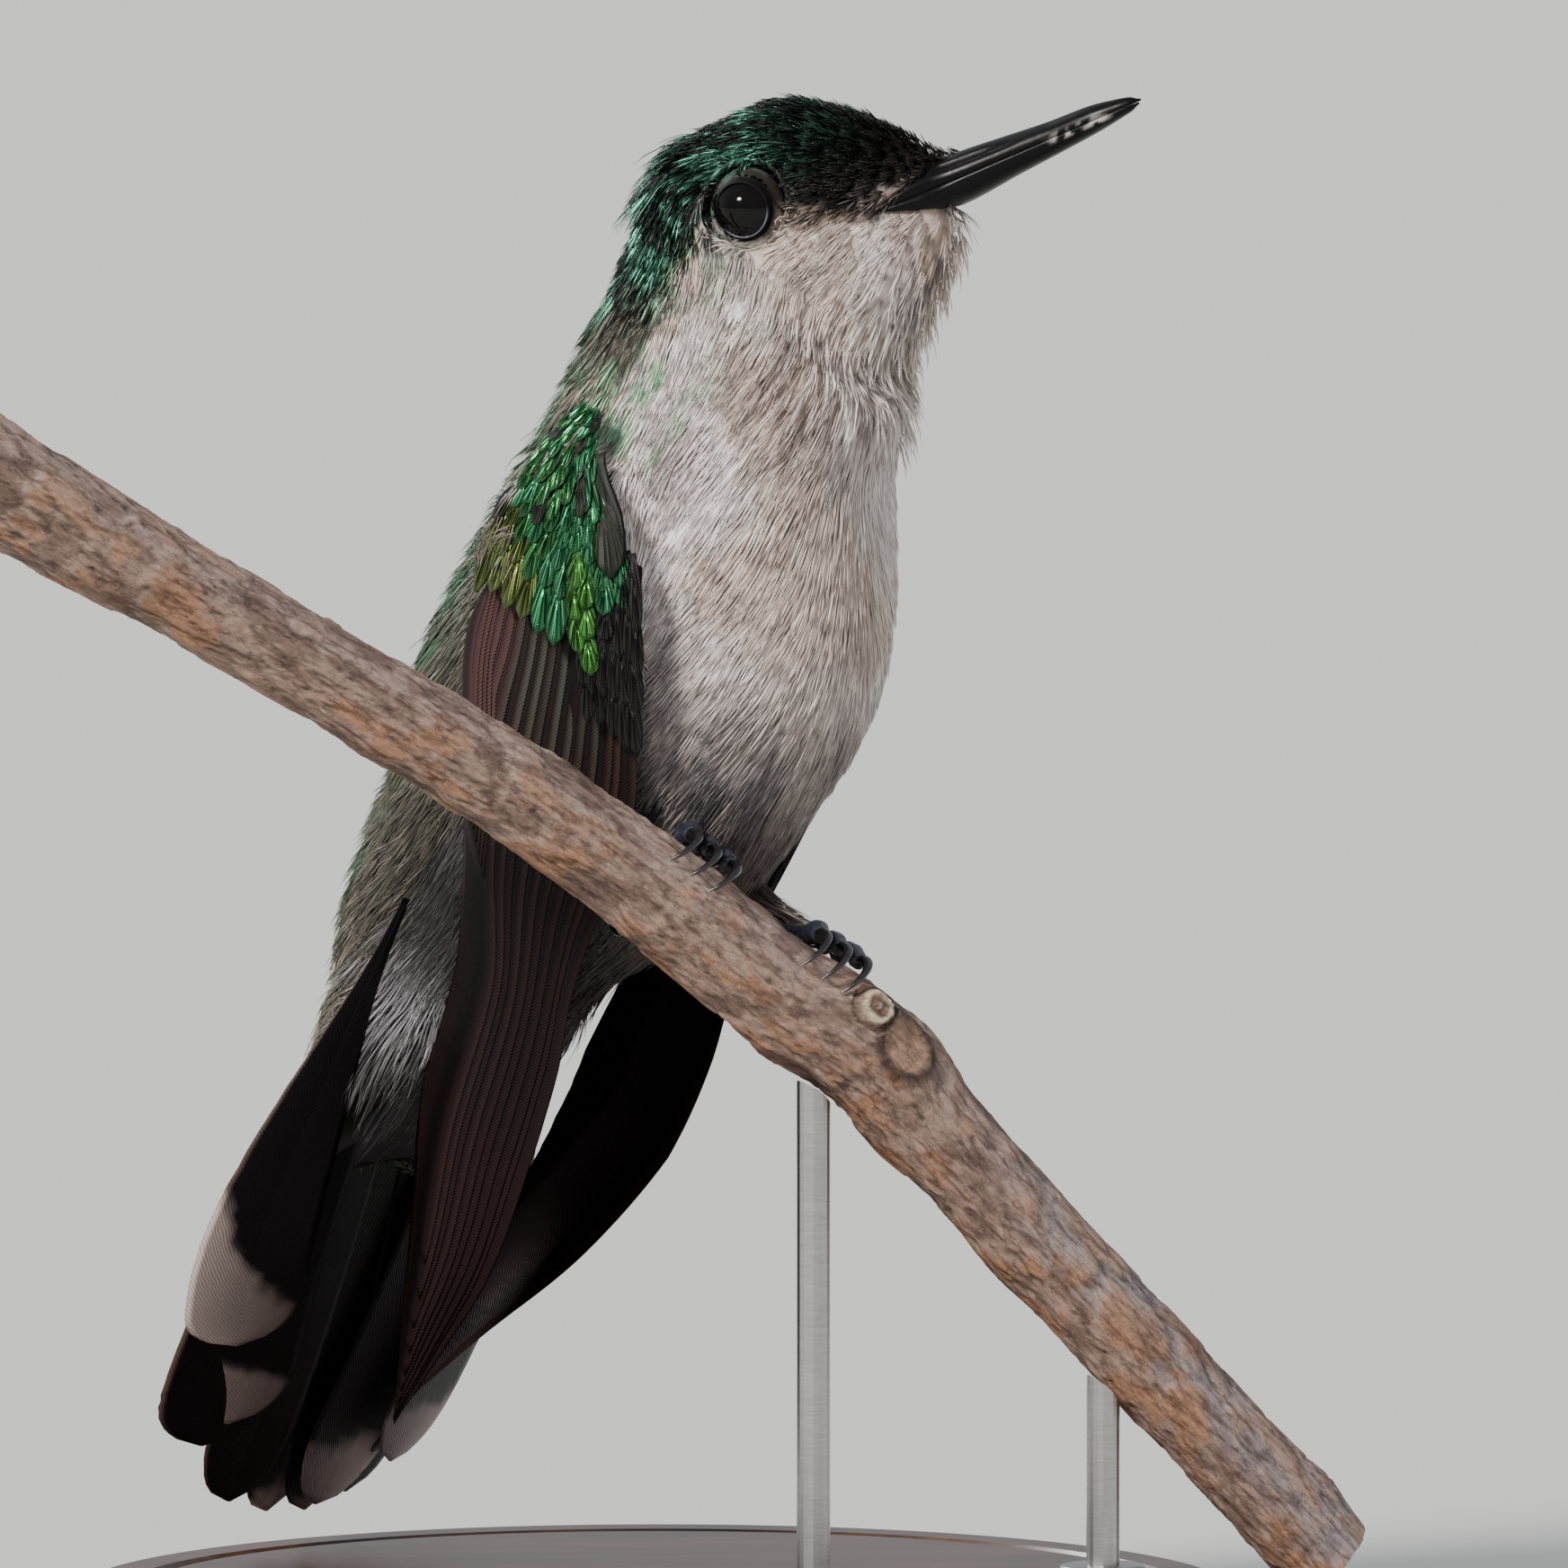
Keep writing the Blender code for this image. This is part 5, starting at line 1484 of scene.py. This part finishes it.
class HB_OT_feet(Operator):
    """Scaled legs, gripping toes and long dark claws"""
    bl_idname = "hummingbird.feet"
    bl_label = "Make feet"

    def execute(self, context):
        colour = np.array(context.scene.hummingbird_face.foot_colour)
        material = tinted_material(
            "Foot scales", STRANDS, 3800.0, 0.7, 0.24, 0.03, Specular_IOR_Level=0.85)[0]
        toe, nail = np.linspace(0, 1, 9), np.linspace(0, 1, 8)
        for suffix in ("r", "l"):
            centre, radius, ahead, front, over = (value[0] for value in twig_at([FOOT_PLACES[suffix]]))
            grip = radius + 0.46

            def on_twig(slide, angle, lift):
                values = (slide, np.radians(angle), lift)
                slide, turn, lift = (np.asarray(value)[..., None] for value in values)
                outward = over * np.sin(turn) + front * np.cos(turn)
                return centre + ahead * slide + outward * (grip + lift)

            for name, fan in (*TOES.items(), ("hind", None)):
                if fan is None:
                    reach = 44 if suffix == "r" else 24
                    points = on_twig(-0.2, 138 + 78 * toe, 0.32 * np.sin(3.1 * toe))
                    claw = on_twig(-0.2, 213 + reach * nail,
                                   0.12 - 0.36 * nail ** 2 + 0.3 * np.sin(3.1 * nail))
                else:
                    points = on_twig(fan * (0.62 + 0.33 * toe), 118 - 36 * toe, 0.3 * np.sin(3.1 * toe))
                    claw = on_twig(fan * 0.95 - 0.9 * nail ** 2, 86 - 50 * nail,
                                   0.14 - 0.46 * nail ** 2 + 0.55 * np.sin(3.1 * nail))
                radii = np.append(0.52 - 0.1 * toe[:-1], 0.3)
                vanes = Vanes(3)
                rings, wave = scaled_tube(points, radii, pads=0.08)
                # painted shade in the grooves between scales
                vanes.add(rings, colour * (1 - 0.55 * wave))
                rings, wave = scaled_tube(claw, 0.33 * np.linspace(1, 0.02, 8) ** 0.7, 12, 0.0)
                vanes.add(rings, paint(14, 13, 17))
                vanes.write("toe_scaled_%s_%s" % (suffix, name), material, "foot_scale",
                            "toe_%s_%s" % (suffix, name))
            ankle = on_twig(0.0, 128, 0.6)
            hip = trunk_places(*HIPS[suffix])
            rings, wave = scaled_tube(hip + (ankle - hip) * np.linspace(0, 1, 5)[:, None], [0.55] * 5)
            vanes = Vanes(3)
            # painted shade in the grooves between scales
            vanes.add(rings, colour * (1 - 0.5 * wave))
            vanes.write("leg_scaled_" + suffix, material, "foot_scale", "leg_" + suffix)
            self.thigh(suffix, ankle, hip)
        return {"FINISHED"}

    def thigh(self, suffix, ankle, hip):
        """Loose feathers that hang from the belly over the upper half of a leg."""
        rng = np.random.default_rng(91 if suffix == "r" else 92)
        count = 70
        left, belly, along = HIPS[suffix]
        inside = trunk_places(left * 0.9, belly - 3.6, along + 2.6)
        aim = unit(ankle - hip)
        side = unit(np.cross(aim, TRUNK_BACK))
        turn = rng.uniform(0, 2 * math.pi, count)[:, None]
        round_leg = side * np.cos(turn) + unit(np.cross(side, aim)) * np.sin(turn)
        reach = rng.uniform(0.30, 0.62, count)[:, None] * np.linalg.norm(ankle - hip)
        width = rng.uniform(0.9, 1.3, count)
        stations = []
        for s in np.linspace(0, 1, 4):
            line = inside * (1 - s) ** 2 + 2 * s * (1 - s) * (hip - aim * 0.8) + s ** 2 * (hip + aim * reach)
            stations.append(line + round_leg * (1.7 - 0.85 * s))
        style = Style(12, 0.04, 0.05, 0.3, 0.3, 0.7, 0.2, 0.12, 2.5)
        tint = paint(118, 104, 98) * (1 + rng.normal(0, 0.15, (count, 1)))
        coat = Coat("plumage_thigh_" + suffix, bpy.data.materials["Silky plumage"], "plumage_pale")
        coat.add(feather_barbs(np.stack(stations, 1), np.repeat(round_leg[:, None], 4, 1), width, style, tint,
                               np.zeros(count), unwrap(stations[1]), rng))
        coat.write()


# ---- twig

def bark_material():
    """Weathered bark: lengthwise streaks, peeling grey film, rusty patches and dark cracks."""
    material, tree, shader = new_material("Weathered bark", 0.8)
    lay = attribute(tree, "lay", "Vector")
    stretch = add_node(tree, "Mapping", Scale=(2.2, 0.6, 1.0), Vector=lay).outputs[0]
    streak = add_node(tree, "TexNoise", Scale=2.4, Detail=7.0, Roughness=0.72, Vector=stretch).outputs
    fine = add_node(tree, "TexNoise", Scale=6.0, Detail=4.0, Roughness=0.6, Vector=stretch).outputs["Fac"]
    level = add_node(tree, "MapRange", Value=streak["Fac"],
                     From_Min=0.3, From_Max=0.7, To_Min=0.62, To_Max=1.32)
    scaled = add_node(tree, "VectorMath", operation="SCALE", _0=attribute(tree, "tint", "Color"),
                      Scale=level.outputs[0])
    warped = add_node(tree, "VectorMath", operation="MULTIPLY_ADD", _0=streak["Color"], _1=(1.6, 1.6, 1.6),
                      _2=stretch)
    cells = add_node(tree, "TexVoronoi", feature="DISTANCE_TO_EDGE", Scale=0.7, Vector=warped.outputs[0])
    thin = add_node(tree, "MapRange", Value=cells.outputs["Distance"], From_Max=0.07, To_Min=0.5)
    cracked = add_node(tree, "VectorMath", operation="SCALE", _0=scaled.outputs[0], Scale=thin.outputs[0])
    feed(tree, shader, Base_Color=cracked.outputs[0])
    add_bump(tree, shader, calculate(tree, "MULTIPLY_ADD", fine, 0.5, streak["Fac"]), 0.16, 0.8)
    return material


# x, angle round the twig from its front in degrees, length, width in degrees, height
LUMPS = ((-25.0, -40, 1.8, 34, 0.35), (-12.8, -62, 1.2, 30, 0.3), (-5.2, 88, 1.0, 24, 0.22),
         (0.4, -58, 1.0, 30, 0.3), (6.6, -72, 1.0, 26, 0.28), (8.5, 41, 1.0, 26, 0.75),
         (10.1, 33, 1.6, 40, 0.35), (12.5, -75, 1.2, 30, 0.3), (18.2, -80, 1.1, 26, 0.25),
         (24.0, 60, 1.2, 26, 0.25), (30.5, 85, 1.0, 26, 0.35))
LEAF_SCAR = (10.2, 33, 1.15, 27)
BUD = (8.5, 41, 0.72, 17)


class HB_OT_twig(Operator):
    """Cut length of twig with ridged bark, knots, a bud and a leaf scar"""
    bl_idname = "hummingbird.twig"
    bl_label = "Make twig"

    def execute(self, context):
        count, sides = 600, 128
        across = np.linspace(TWIG_ROWS[0][0], TWIG_ROWS[-1][0], count)
        centre, radius, _, front, over = twig_at(across)
        gone = arc_length(centre)
        turn = whole_turn(sides)
        outward = front[:, None] * np.cos(turn)[None, :, None] + over[:, None] * np.sin(turn)[None, :, None]

        def gap(place, angle, long, wide):
            """How far out of a mark each place lies: 1 at its edge."""
            apart = (np.degrees(turn) - angle + 180) % 360 - 180
            return np.hypot(((across - place) / long)[:, None], (apart / wide)[None])

        grain, film = self.bark_noise(turn, gone)
        scar_gap, bud_gap = gap(*LEAF_SCAR), gap(*BUD)
        scar = np.exp(-((scar_gap - 1.0) / 0.22) ** 2)
        bud_rim = np.exp(-((bud_gap - 1.15) / 0.2) ** 2)
        bud_rings = np.cos(9.0 * bud_gap) * (1 - ramp(bud_gap, 1.2, 1.5))
        cracks = np.clip((1 - np.abs(grain) * 2 - 0.55) * 2.2, 0, 1)
        swell = sum(high * np.exp(-gap(*lump) ** 2) for *lump, high in LUMPS)
        swell += 0.12 * scar - 0.14 * (scar_gap < 0.85) - 0.12 * bud_rim + 0.09 * bud_rings
        swell += 0.10 * grain - 0.10 * cracks + 0.05 * np.clip(film * 6, -1, 1)
        places, faces = loft_arrays(centre[:, None] + outward * (radius[:, None] + swell - 0.05)[..., None])
        lay = np.stack(np.broadcast_arrays(
            np.minimum(turn, 2 * math.pi - turn)[None] * 2.4, gone[:, None], np.sin(turn)[None] * 2.0), -1)
        upper = ramp(np.sin(turn), -0.2, 0.9)[None] * np.ones((count, 1))
        rust = (0.6 * np.exp(-gap(x, angle, long * 0.7, wide * 0.6) ** 2)
                for x, angle, long, wide, high in LUMPS)
        layers = [
            # painted light: the twig's top painted paler, as lit from above
            ((168, 148, 140), 0.6 * upper),
            ((176, 122, 84), 0.6 * ramp(film, 0.05, 0.35) * (1 - 0.6 * upper)),
            ((92, 66, 56), 0.55 * ramp(-film, 0.16, 0.42)),
            ((150, 142, 150), 0.6 * ramp(across, 14, 20)[:, None] * ramp(-film, -0.1, 0.15) * upper ** 0.3),
            ((60, 40, 32), 0.65 * cracks),
            *(((96, 62, 44), share) for share in rust),
            ((58, 36, 28), 0.85 * scar + 0.7 * bud_rim),
            ((176, 140, 112), 0.5 * (scar_gap < 0.8)),
            ((226, 208, 180), 0.7 * ramp(bud_rings, 0.2, 0.9))]
        tint = layered(np.array(context.scene.hummingbird_stand.bark_colour),
                       *((paint(*colour), np.clip(share, 0, 1)) for colour, share in layers))
        tint = np.concatenate((tint.reshape(-1, 3), [paint(190, 160, 120)] * 2))
        lay = np.concatenate((lay.reshape(-1, 3), np.zeros((2, 3))))
        node = triangle_mesh("twig", places, faces, tint, lay=lay)
        node.data.set_sharp_from_angle(angle=math.radians(60))
        place_piece(node, bark_material(), "twig_bark", "perch")
        return {"FINISHED"}

    def bark_noise(self, turn, gone):
        """Fine ridges and broad peeling patches, stretched along the twig."""
        grain = np.empty((len(gone), len(turn)))
        film = np.empty((len(gone), len(turn)))
        for i, along in enumerate(gone):
            for j, angle in enumerate(turn):
                spot = Vector((3.1 * math.cos(angle), 3.1 * math.sin(angle), along * 0.22))
                grain[i, j] = noise.fractal(spot, 0.9, 2.0, 4)
                spot.z = along * 0.75
                film[i, j] = noise.fractal(spot * 0.42, 0.8, 2.0, 5)
        return grain, film


# ---- stand

class HB_OT_stand(Operator):
    """Turned wooden base, steel rods and their collars"""
    bl_idname = "hummingbird.stand"
    bl_label = "Finish stand"

    def execute(self, context):
        settings = context.scene.hummingbird_stand
        dark = tuple(settings.wood_colour)
        light = tuple(min(1.0, 3.2 * value) for value in dark)
        grain = {"Scale": 90.0, "Detail": 6.0, "Roughness": 0.65, "Distortion": 0.6}
        material = grained_material(
            "Dark walnut", 0.34, (1.0, 9.0, 9.0), ((0.3, dark), (0.75, light)), grain, 0.05,
            Coat_Weight=0.25, Coat_Roughness=0.2)
        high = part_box("stand_base")[1]
        edge, top = high.x, high.z
        profile = [(0.0, 0.0), (edge - 0.0006, 0.0), (edge, 0.0006), (edge, 0.0022),
                   (edge - 0.0004, 0.0026), (edge - 0.0004, 0.0030), (edge, 0.0034),
                   (edge, top - 0.0014), (edge - 0.0004, top - 0.0004),
                   (edge - 0.0014, top), (edge - 0.0034, top), (edge - 0.0037, top - 0.0003),
                   (edge - 0.0042, top - 0.0003), (edge - 0.0045, top), (0.0, top)]
        quiet()
        mesh = bpy.data.meshes.new("turned_base")
        shape = bmesh.new()
        corners = [shape.verts.new((x, 0, z)) for x, z in profile]
        edges = [shape.edges.new(pair) for pair in zip(corners, corners[1:])]
        bmesh.ops.spin(shape, geom=corners + edges, cent=(0, 0, 0), axis=(0, 0, 1),
                       angle=2 * math.pi, steps=160)
        bmesh.ops.remove_doubles(shape, verts=shape.verts, dist=1e-6)
        bmesh.ops.recalc_face_normals(shape, faces=shape.faces)
        shape.to_mesh(mesh)
        shape.free()
        mesh.shade_smooth()
        mesh.set_sharp_from_angle(angle=math.radians(40))
        place_piece(link_object("turned_base", mesh), material, "stand_wood", "stand_base")
        self.steel(context)
        return {"FINISHED"}

    def steel(self, context):
        """Brushed finish for the rods, and a small collar at the foot of each."""
        stops = ((0.0, (0.36, 0.35, 0.34)), (1.0, (0.62, 0.61, 0.6)))
        brush = {"Scale": 700.0, "Detail": 3.0}
        material = grained_material("Brushed steel", 0.3, (1.0, 1.0, 14.0), stops, brush, 0.01, Metallic=1.0)
        for name in ("stand_rod_tall", "stand_rod_short"):
            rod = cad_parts[name]
            rod.data.materials.clear()
            rod.data.materials.append(material)
            low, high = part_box(name)
            middle = (low + high) / 2
            quiet()
            bpy.ops.mesh.primitive_cylinder_add(vertices=48, radius=2.1 * MM, depth=0.8 * MM,
                                                location=(middle.x, middle.y, low.z + 0.1 * MM))
            collar = context.active_object
            collar.name = name.replace("rod", "collar")
            bpy.ops.object.transform_apply(location=True, rotation=True, scale=True)
            apply_modifier(collar, "BEVEL", width=0.25 * MM, segments=3, limit_method="ANGLE")
            collar.data.shade_smooth()
            collar.data.set_sharp_from_angle(angle=math.radians(50))
            place_piece(collar, material, "stand_steel")


# ---- stage

class HB_OT_stage(Operator):
    """Pale floor, soft studio lights and the camera"""
    bl_idname = "hummingbird.stage"
    bl_label = "Set stage"

    def execute(self, context):
        settings = context.scene.hummingbird_stage
        quiet()
        bpy.ops.mesh.primitive_circle_add(vertices=96, radius=9.0, fill_type="NGON", location=(0, 0, 0))
        floor = context.active_object
        floor.name = "studio_floor"
        tone = np.array(settings.floor_colour)
        stops = ((0.0, tone * 0.97), (1.0, tone))
        floor.data.materials.append(
            grained_material("Pale floor", 0.9, None, stops, {"Scale": 3.0, "Detail": 2.0}, 0.0))
        world = bpy.data.worlds.new("Studio")
        world.use_nodes = True
        sky = world.node_tree.nodes["Background"]
        sky.inputs["Color"].default_value = (0.86, 0.89, 0.94, 1)
        sky.inputs["Strength"].default_value = settings.fill
        context.scene.world = world
        aim = Vector((0.0, 0.0, 0.05))
        for name, place, size, power, colour in (
                ("key", (-0.50, -0.70, 0.62), 11.0, settings.key_power, (1.0, 0.97, 0.92)),
                ("rim", (-0.60, 0.55, 0.55), 16.0, settings.key_power * 0.35, (0.96, 0.98, 1.0))):
            data = bpy.data.lights.new(name, "SUN")
            data.angle = math.radians(size)
            data.energy = power
            data.color = colour
            light = link_object(name, data)
            light.location = place
            light.rotation_mode = "QUATERNION"
            light.rotation_quaternion = (aim - Vector(place)).to_track_quat("-Z", "Y")
        self.camera(context, settings)
        return {"FINISHED"}

    def camera(self, context, settings):
        """Long lens, a few degrees above level, square on to the twig."""
        data = bpy.data.cameras.new("camera")
        camera = link_object("camera", data)
        tilt = settings.camera_rise
        look = Vector((0.0, math.cos(tilt), -math.sin(tilt)))
        target = Vector((6.2, 0.61, 44.47)) * MM
        camera.location = target - look * settings.camera_distance
        camera.rotation_mode = "QUATERNION"
        camera.rotation_quaternion = look.to_track_quat("-Z", "Y")
        data.sensor_width = 36.0
        data.lens = 36.0 * settings.camera_distance / (settings.view_width)
        data.clip_start = 0.01
        data.clip_end = 30.0
        context.scene.camera = camera


# ---- settings

def hue(name, description, red, green, blue):
    """Colour setting whose default is given as display values of 0 to 255."""
    return FloatVectorProperty(name=name, description=description, subtype="COLOR", size=3, min=0.0, max=1.0,
                               default=tuple(paint(red, green, blue)))


class PlumageSettings(PropertyGroup):
    """Depth and colours of the body plumage."""
    coat_depth: FloatProperty(name="Coat depth", description="How far the skin lies under the feather tips",
                              default=0.0005, min=0.0001, max=0.002, unit="LENGTH", precision=5)
    breast_colour: hue("Breast", "Pale grey-white of throat and breast", 242, 229, 225)
    mottle_colour: hue("Mottling", "Grey between the pale feathers", 168, 152, 152)
    crown_colour: hue("Crown", "Dark green of the cap", 36, 48, 43)
    crown_glint: hue("Glint", "Bright reflection of cap and back", 125, 215, 180)
    back_colour: hue("Back", "Bronze green of the upper back", 62, 88, 62)
    side_colour: hue("Mantle edge", "Dull olive grey of back and rump beside the wing", 104, 98, 86)


class WingSettings(PropertyGroup):
    """Colours of the wings."""
    flight_colour: hue("Flight feathers", "Blackish brown of the blades", 24, 16, 16)
    sheen_colour: hue("Sheen", "Purplish brown of the inner blades", 64, 40, 43)
    # paler blade edges: partly real fringes, partly painted highlight
    fringe_highlight_colour: hue("Fringes", "Paler edges of the blades", 74, 56, 51)
    covert_lead: hue("Teal coverts", "Blue-green scales", 82, 205, 132)
    covert_middle: hue("Emerald coverts", "Green of the middle of the wing", 90, 190, 108)
    covert_trail: hue("Rear coverts", "Yellow-green towards the back", 160, 185, 95)
    covert_bright: hue("Bright coverts", "Grass green of the largest scales", 100, 200, 84)


class TailSettings(PropertyGroup):
    """Colours of the tail."""
    tail_colour: hue("Tail", "Blackish tail feathers", 15, 12, 15)
    tip_colour: hue("Tips", "Grey-buff ends of the outer feathers", 150, 134, 130)


class FaceSettings(PropertyGroup):
    """Colours of bill and feet."""
    bill_colour: hue("Bill", "Black horn", 9, 8, 10)
    foot_colour: hue("Feet", "Blue-black scales", 44, 46, 58)


class StandSettings(PropertyGroup):
    """Colours of twig and stand."""
    bark_colour: hue("Bark", "Tan bark", 158, 130, 116)
    wood_colour: hue("Base", "Dark walnut", 48, 30, 20)


class StageSettings(PropertyGroup):
    """Camera, lights and floor."""
    camera_rise: FloatProperty(name="Camera rise", description="How far the camera looks down",
                               default=math.radians(4.0), subtype="ANGLE")
    camera_distance: FloatProperty(name="Camera distance", description="From the bird to the lens",
                                   default=0.9, unit="LENGTH")
    view_width: FloatProperty(name="View width", description="Width seen at the bird",
                              default=0.07485, unit="LENGTH", precision=5)
    key_power: FloatProperty(name="Key light", description="Strength of the main light", default=5.2)
    fill: FloatProperty(name="Fill", description="Strength of the light from all round", default=0.5)
    floor_colour: hue("Floor", "Pale studio floor", 198, 200, 196)


SETTINGS = {"hummingbird_plumage": PlumageSettings, "hummingbird_wings": WingSettings,
            "hummingbird_tail": TailSettings, "hummingbird_face": FaceSettings,
            "hummingbird_stand": StandSettings, "hummingbird_stage": StageSettings}
OPERATORS = (HB_OT_skin, HB_OT_plumage, HB_OT_wings, HB_OT_tail, HB_OT_eyes, HB_OT_bill, HB_OT_feet,
             HB_OT_twig, HB_OT_stand, HB_OT_stage)


class HB_PT_panel(Panel):
    """Steps and settings of the hummingbird"""
    bl_label = "Hummingbird"
    bl_idname = "HB_PT_panel"
    bl_space_type = "VIEW_3D"
    bl_region_type = "UI"
    bl_category = "Hummingbird"

    def draw(self, context):
        layout = self.layout
        for operator in OPERATORS:
            layout.operator(operator.bl_idname)
        for name, group in SETTINGS.items():
            box = layout.box()
            for key in group.__annotations__:
                box.prop(getattr(context.scene, name), key)


def register():
    """Register settings, operators and panel."""
    for name, group in SETTINGS.items():
        bpy.utils.register_class(group)
        setattr(bpy.types.Scene, name, PointerProperty(type=group))
    for kind in OPERATORS + (HB_PT_panel,):
        bpy.utils.register_class(kind)


def unregister():
    """Remove settings, operators and panel."""
    for kind in reversed(OPERATORS + (HB_PT_panel,)):
        bpy.utils.unregister_class(kind)
    for name, group in SETTINGS.items():
        delattr(bpy.types.Scene, name)
        bpy.utils.unregister_class(group)


def main():
    """Make every piece in order."""
    register()
    for step in (bpy.ops.hummingbird.skin, bpy.ops.hummingbird.plumage, bpy.ops.hummingbird.wings,
                 bpy.ops.hummingbird.tail, bpy.ops.hummingbird.eyes, bpy.ops.hummingbird.bill,
                 bpy.ops.hummingbird.feet, bpy.ops.hummingbird.twig, bpy.ops.hummingbird.stand,
                 bpy.ops.hummingbird.stage):
        step()


if __name__ == "__main__":
    main()
